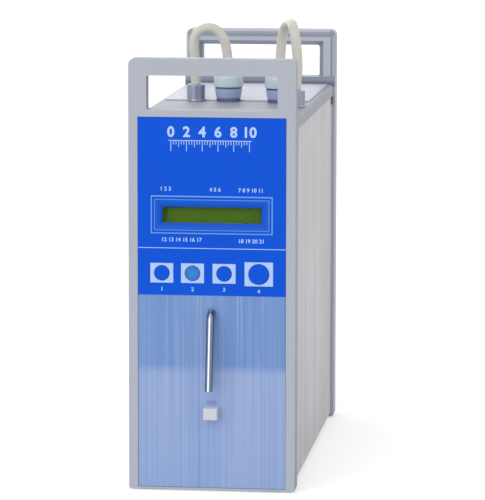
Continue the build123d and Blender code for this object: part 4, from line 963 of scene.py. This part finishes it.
class ANALYZER_OT_ports(bpy.types.Operator):
    """Build the fluted port caps and finish the ports and their washers"""

    bl_idname = "analyzer.ports"
    bl_label = "Ports"

    def execute(self, context):
        colours = context.scene.analyzer_colours
        alloy = metal("ferrule_alloy", srgb(150, 156, 176), 0.34, (1, 1, 0.1), metallic=0.7)
        paint(alloy, "port_a", "port_d")
        paint(self.union(colours.port_body), "port_b", "port_c")
        paint(rubber("gasket_rubber", srgb(84, 96, 130), 0.6), "port_gaskets")
        paint(metal("nut_zinc", srgb(170, 172, 176), 0.35), "port_nuts")
        soften(0.3, "port_a", "port_b", "port_c", "port_d")
        pale = moulded("cap_plastic", colours.cap, 0.4, coat=0.1)
        for node, body in (("port_b_cap", "cap_b"), ("port_c_cap", "cap_c")):
            self.cap(node, body, pale)
        return {"FINISHED"}

    def union(self, colour):
        """A union's plastic, with painted shade at its base and under the cap's rim."""
        f = Finish("union_plastic")
        height = f.axis(2)
        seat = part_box("port_plate")[1].z
        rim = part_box("port_b_cap")[0].z
        flow = f.noise(FLOW_WAVES, 3.0, (1, 1, 0.4))
        base = f.mix(flow, shade(colour, 0.96), shade(colour, 1.04))
        # Painted shade at the base, where the union meets the port plate, and just under the rim of the cap
        base = f.mix(f.ramp(height, seat + 2.2 * MM, seat + 1.2 * MM), base, srgb(116, 130, 172))
        base = f.mix(f.ramp(height, rim - 1.6 * MM, rim - 0.8 * MM), base, srgb(92, 106, 136))
        return f.surface(base, 0.35 + 0.08 * flow, f.spark(), Coat_Weight=0.15, Coat_Roughness=0.15)

    def cap(self, node, body, material):
        """A cap with a fluted wall, a domed top and a short neck round the tube."""
        low, high = (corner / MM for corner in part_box(node))
        centre = (low + high) / 2
        radius = (high.x - low.x) / 2
        tall = high.z - low.z
        wall, bore, throat = 5.0, 8.75, 3.55
        dome_reach, dome_low, dome_high, dome_steps = 5.6, wall - 0.2, tall - 2.6, 9
        flutes, flute_depth, steps = 24, 0.28, 144
        fluted_reach, fluted_low, fluted_high = 8.9, 0.2, wall - 0.4
        # Radius and height above the rim, up the bore, over the neck and the dome, and down the wall
        profile = [
            (bore, 0.0), (bore, wall - 0.6), (throat, wall + 0.2), (throat, tall), (4.3, tall),
            (4.7, tall - 0.3), (4.8, tall - 1.9), (5.4, tall - 2.5),
        ]
        for step in range(1, dome_steps):
            angle = math.pi / 2 * step / dome_steps
            reach = dome_reach + (radius - 0.15 - dome_reach) * math.sin(angle)
            profile.append((reach, dome_low + (dome_high - dome_low) * math.cos(angle)))
        profile += [
            (radius - 0.02, wall - 0.5), (radius, wall - 1.0), (radius, 0.7), (radius - 0.1, 0.25),
            (radius - 0.4, 0.0),
        ]
        rows = []
        for reach, height in profile:
            fluted = reach > fluted_reach and fluted_low <= height <= fluted_high
            row = []
            for step in range(steps):
                angle = 2 * math.pi * step / steps
                wave = flute_depth * (0.5 + 0.5 * math.cos(flutes * angle)) if fluted else 0.0
                out = Vector((math.cos(angle), math.sin(angle), 0)) * (reach - wave)
                row.append((centre.x + out.x, centre.y + out.y, low.z + height))
            rows.append(row)
        shape = bmesh.new()
        loft(shape, rows)
        cap = finish_mesh(node + "_fluted", shape, material, body, smooth=35)
        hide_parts(node)


class ANALYZER_OT_rear(bpy.types.Operator):
    """Finish the rear plate with its inlet, switch, serial ports and screws"""

    bl_idname = "analyzer.rear"
    bl_label = "Rear panel"

    def execute(self, context):
        colours = context.scene.analyzer_colours
        plate = metal("rear_plate_metal", colours.rear, 0.38, (1.0, 1.0, 0.02), drift=0.05, metallic=0.6)
        paint(plate, "rear_plate")
        black = moulded("inlet_plastic", srgb(34, 34, 37), 0.42)
        paint(black, "power_inlet", "fuse_drawer", "switch_body")
        paint(moulded("rocker_plastic", srgb(26, 26, 29), 0.3, coat=0.2), "power_rocker")
        paint(metal("serial_zinc", srgb(186, 188, 192), 0.3), "serial_ports", "serial_posts")
        paint(metal("screw_zinc", srgb(120, 124, 130), 0.32), "case_screws")
        soften(0.3, "power_rocker", "switch_body", "fuse_drawer")
        self.sockets(black)
        self.recess_shades()
        self.marks()
        return {"FINISHED"}

    def sockets(self, material):
        """Dark faces in the serial connectors, with two rows of contacts each."""
        pitch, row_height, layer = 2.77, 1.42, 0.01
        half_face = Vector((7.4, layer / 2, 3.1))
        half_contact = Vector((0.5, layer / 2, 0.5))
        faces = bmesh.new()
        contacts = bmesh.new()
        for low, high in solids("serial_ports"):
            middle = (low + high) / 2
            middle.y = high.y + layer / 2
            slab(faces, middle - half_face, middle + half_face)
            for count, up in ((5, row_height), (4, -row_height)):
                for index in range(count):
                    at = middle + Vector(((index - (count - 1) / 2) * pitch, layer, up))
                    slab(contacts, at - half_contact, at + half_contact)
        finish_mesh("serial_faces", faces, material)
        finish_mesh("serial_contacts", contacts, metal("contact_gold", srgb(196, 168, 96), 0.3))

    def recess_shades(self):
        """Thin black crosses on the heads of the screws of the rear plate and of the flanks: painted shade
        standing in for the recess in each head.
        """
        arm, slot, layer = 1.25, 0.3, 0.02
        rear_x, rear_heights = 41.9, (20.0, 110.0, 212.0)
        flank_y, flank_z = 120.533, 213.8
        low, high = (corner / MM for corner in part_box("case_screws"))
        shape = bmesh.new()
        for out, up in ((arm, slot), (slot, arm)):
            for x in (-rear_x, rear_x):
                for z in rear_heights:
                    slab(shape, (x - out, high.y, z - up), (x + out, high.y + layer, z + up))
            for near, far in ((low.x - layer, low.x), (high.x, high.x + layer)):
                slab(shape, (near, flank_y - out, flank_z - up), (far, flank_y + out, flank_z + up))
        # Painted shade: black sheets where the cross recess of each head would be
        finish_mesh("screw_recess_shades", shape, rubber("recess_shade_black", srgb(30, 31, 34)))

    def marks(self):
        """A line and a ring on the rocker's two faces, the upper of which leans down."""
        lean = math.radians(20.0)
        half_width, half_length, layer = 0.25, 1.3, 0.03
        outer, inner, steps = 1.5, 1.1, 32
        upper = Vector((0, 141.49, 94.255))
        lower = Vector((0, 140.553, 88.94))
        shape = bmesh.new()
        turned = Matrix.Translation(upper * MM) @ Matrix.Rotation(-lean, 4, "X")
        for vert in slab(shape, (-half_width, 0, -half_length), (half_width, layer, half_length)):
            vert.co = turned @ vert.co
        turns = [2 * math.pi * step / steps for step in range(steps)]
        loft(shape, [
            [lower + Vector((radius * math.cos(turn), out, radius * math.sin(turn))) for turn in turns]
            for radius, out in ((outer, 0), (outer, layer), (inner, layer), (inner, 0))
        ])
        white = printed("mark_white", srgb(226, 228, 230), srgb(26, 26, 29))
        finish_mesh("rocker_marks", shape, white, "rocker")


class ANALYZER_OT_inside(bpy.types.Operator):
    """Finish the pieces inside: chassis, cell, pump, boards, supply and hoses"""

    bl_idname = "analyzer.inside"
    bl_label = "Inside"

    def execute(self, context):
        paint(metal("chassis_zinc", srgb(178, 182, 186), 0.36, (1, 1, 0.05)), "chassis", "cell_clamps")
        steel = metal("cell_stainless", srgb(196, 200, 204), 0.25, (0.1, 1, 1))
        paint(steel, "measuring_cell", "motor_shaft")
        paint(metal("sensor_brass", srgb(196, 168, 104), 0.3), "cell_sensors", "board_standoffs")
        paint(metal("small_screw_steel", srgb(150, 152, 156), 0.3), "board_screws", "panel_nuts")
        paint(metal("motor_steel", srgb(142, 146, 152), 0.35, (0.1, 1, 1)), "pump_motor")
        white = moulded("pump_plastic", srgb(224, 224, 220), 0.42)
        paint(white, "pump_housing", "pump_rotor", "pump_roller_1", "pump_roller_2")
        paint(moulded("pump_lid_plastic", srgb(196, 204, 208), 0.2, coat=0.4), "pump_lid")
        paint(moulded("inner_tube_silicone", srgb(210, 206, 190), 0.35), "pump_tube", "inner_hoses")
        paint(self.board(), "front_board", "main_board")
        paint(moulded("chip_epoxy", srgb(38, 38, 41), 0.5), "board_components", "key_switches")
        paint(self.ribbon(), "ribbon_cable")
        paint(coated("supply_paint", srgb(168, 170, 174), 0.4), "power_supply")
        return {"FINISHED"}

    def board(self):
        """Green board with copper tracks under its resist."""
        f = Finish("board_resist")
        cells = f.node(
            "ShaderNodeTexVoronoi", {"feature": "DISTANCE_TO_EDGE", "distance": "CHEBYCHEV"},
            {"Vector": f.place(), "Scale": 320.0, "Randomness": 0.35}, out="Distance",
        )
        tracks = cells < 0.12
        base = f.mix(tracks, srgb(20, 84, 50), srgb(42, 122, 72))
        base = f.mix(f.noise(40.0, 3.0) * 0.2, base, srgb(14, 60, 40))
        bump = f.bump(tracks, 0.3, PEEL_DEPTH)
        return f.surface(base, 0.32 + 0.1 * tracks, bump)

    def ribbon(self):
        """Grey ribbon with one line for each wire and a red edge."""
        wire_turns = 4947.0  # radians for each metre, one turn for each wire
        red_width = 1.2 * MM
        f = Finish("ribbon_grey")
        height = f.axis(2)
        wave = (height * wire_turns).sine()
        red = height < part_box("ribbon_cable")[0].z + red_width
        base = f.mix(f.ramp(wave, -1.0, -0.4), srgb(120, 122, 126), srgb(186, 188, 190))
        base = f.mix(red, base, srgb(176, 40, 38))
        bump = f.bump(wave, 0.5, 0.1 * MM)
        return f.surface(base, 0.45 + 0.05 * wave, bump)


GROUPS = (AnalyzerColours, AnalyzerSizes, AnalyzerStage)
OPERATORS = (
    ANALYZER_OT_stage,
    ANALYZER_OT_tubes,
    ANALYZER_OT_shells,
    ANALYZER_OT_front_panel,
    ANALYZER_OT_display,
    ANALYZER_OT_keys,
    ANALYZER_OT_intake,
    ANALYZER_OT_ports,
    ANALYZER_OT_rear,
    ANALYZER_OT_inside,
)


class ANALYZER_PT_looks(bpy.types.Panel):
    """Sidebar panel with one button for each group of pieces"""

    bl_idname = "ANALYZER_PT_looks"
    bl_label = "Milk analyzer"
    bl_space_type = "VIEW_3D"
    bl_region_type = "UI"
    bl_category = "Analyzer"

    def draw(self, context):
        for operator in OPERATORS:
            self.layout.operator(operator.bl_idname)
        for settings in ("analyzer_colours", "analyzer_sizes", "analyzer_stage"):
            group = getattr(context.scene, settings)
            box = self.layout.box()
            for name in group.__annotations__:
                box.prop(group, name)


CLASSES = (*GROUPS, *OPERATORS, ANALYZER_PT_looks)


def register():
    for each in CLASSES:
        bpy.utils.register_class(each)
    bpy.types.Scene.analyzer_colours = bpy.props.PointerProperty(type=AnalyzerColours)
    bpy.types.Scene.analyzer_sizes = bpy.props.PointerProperty(type=AnalyzerSizes)
    bpy.types.Scene.analyzer_stage = bpy.props.PointerProperty(type=AnalyzerStage)


def unregister():
    del bpy.types.Scene.analyzer_stage
    del bpy.types.Scene.analyzer_sizes
    del bpy.types.Scene.analyzer_colours
    for each in reversed(CLASSES):
        bpy.utils.unregister_class(each)


def main():
    register()
    bpy.ops.analyzer.stage()
    bpy.ops.analyzer.tubes()
    bpy.ops.analyzer.shells()
    bpy.ops.analyzer.front_panel()
    bpy.ops.analyzer.display()
    bpy.ops.analyzer.keys()
    bpy.ops.analyzer.intake()
    bpy.ops.analyzer.ports()
    bpy.ops.analyzer.rear()
    bpy.ops.analyzer.inside()


if __name__ == "__main__":
    main()
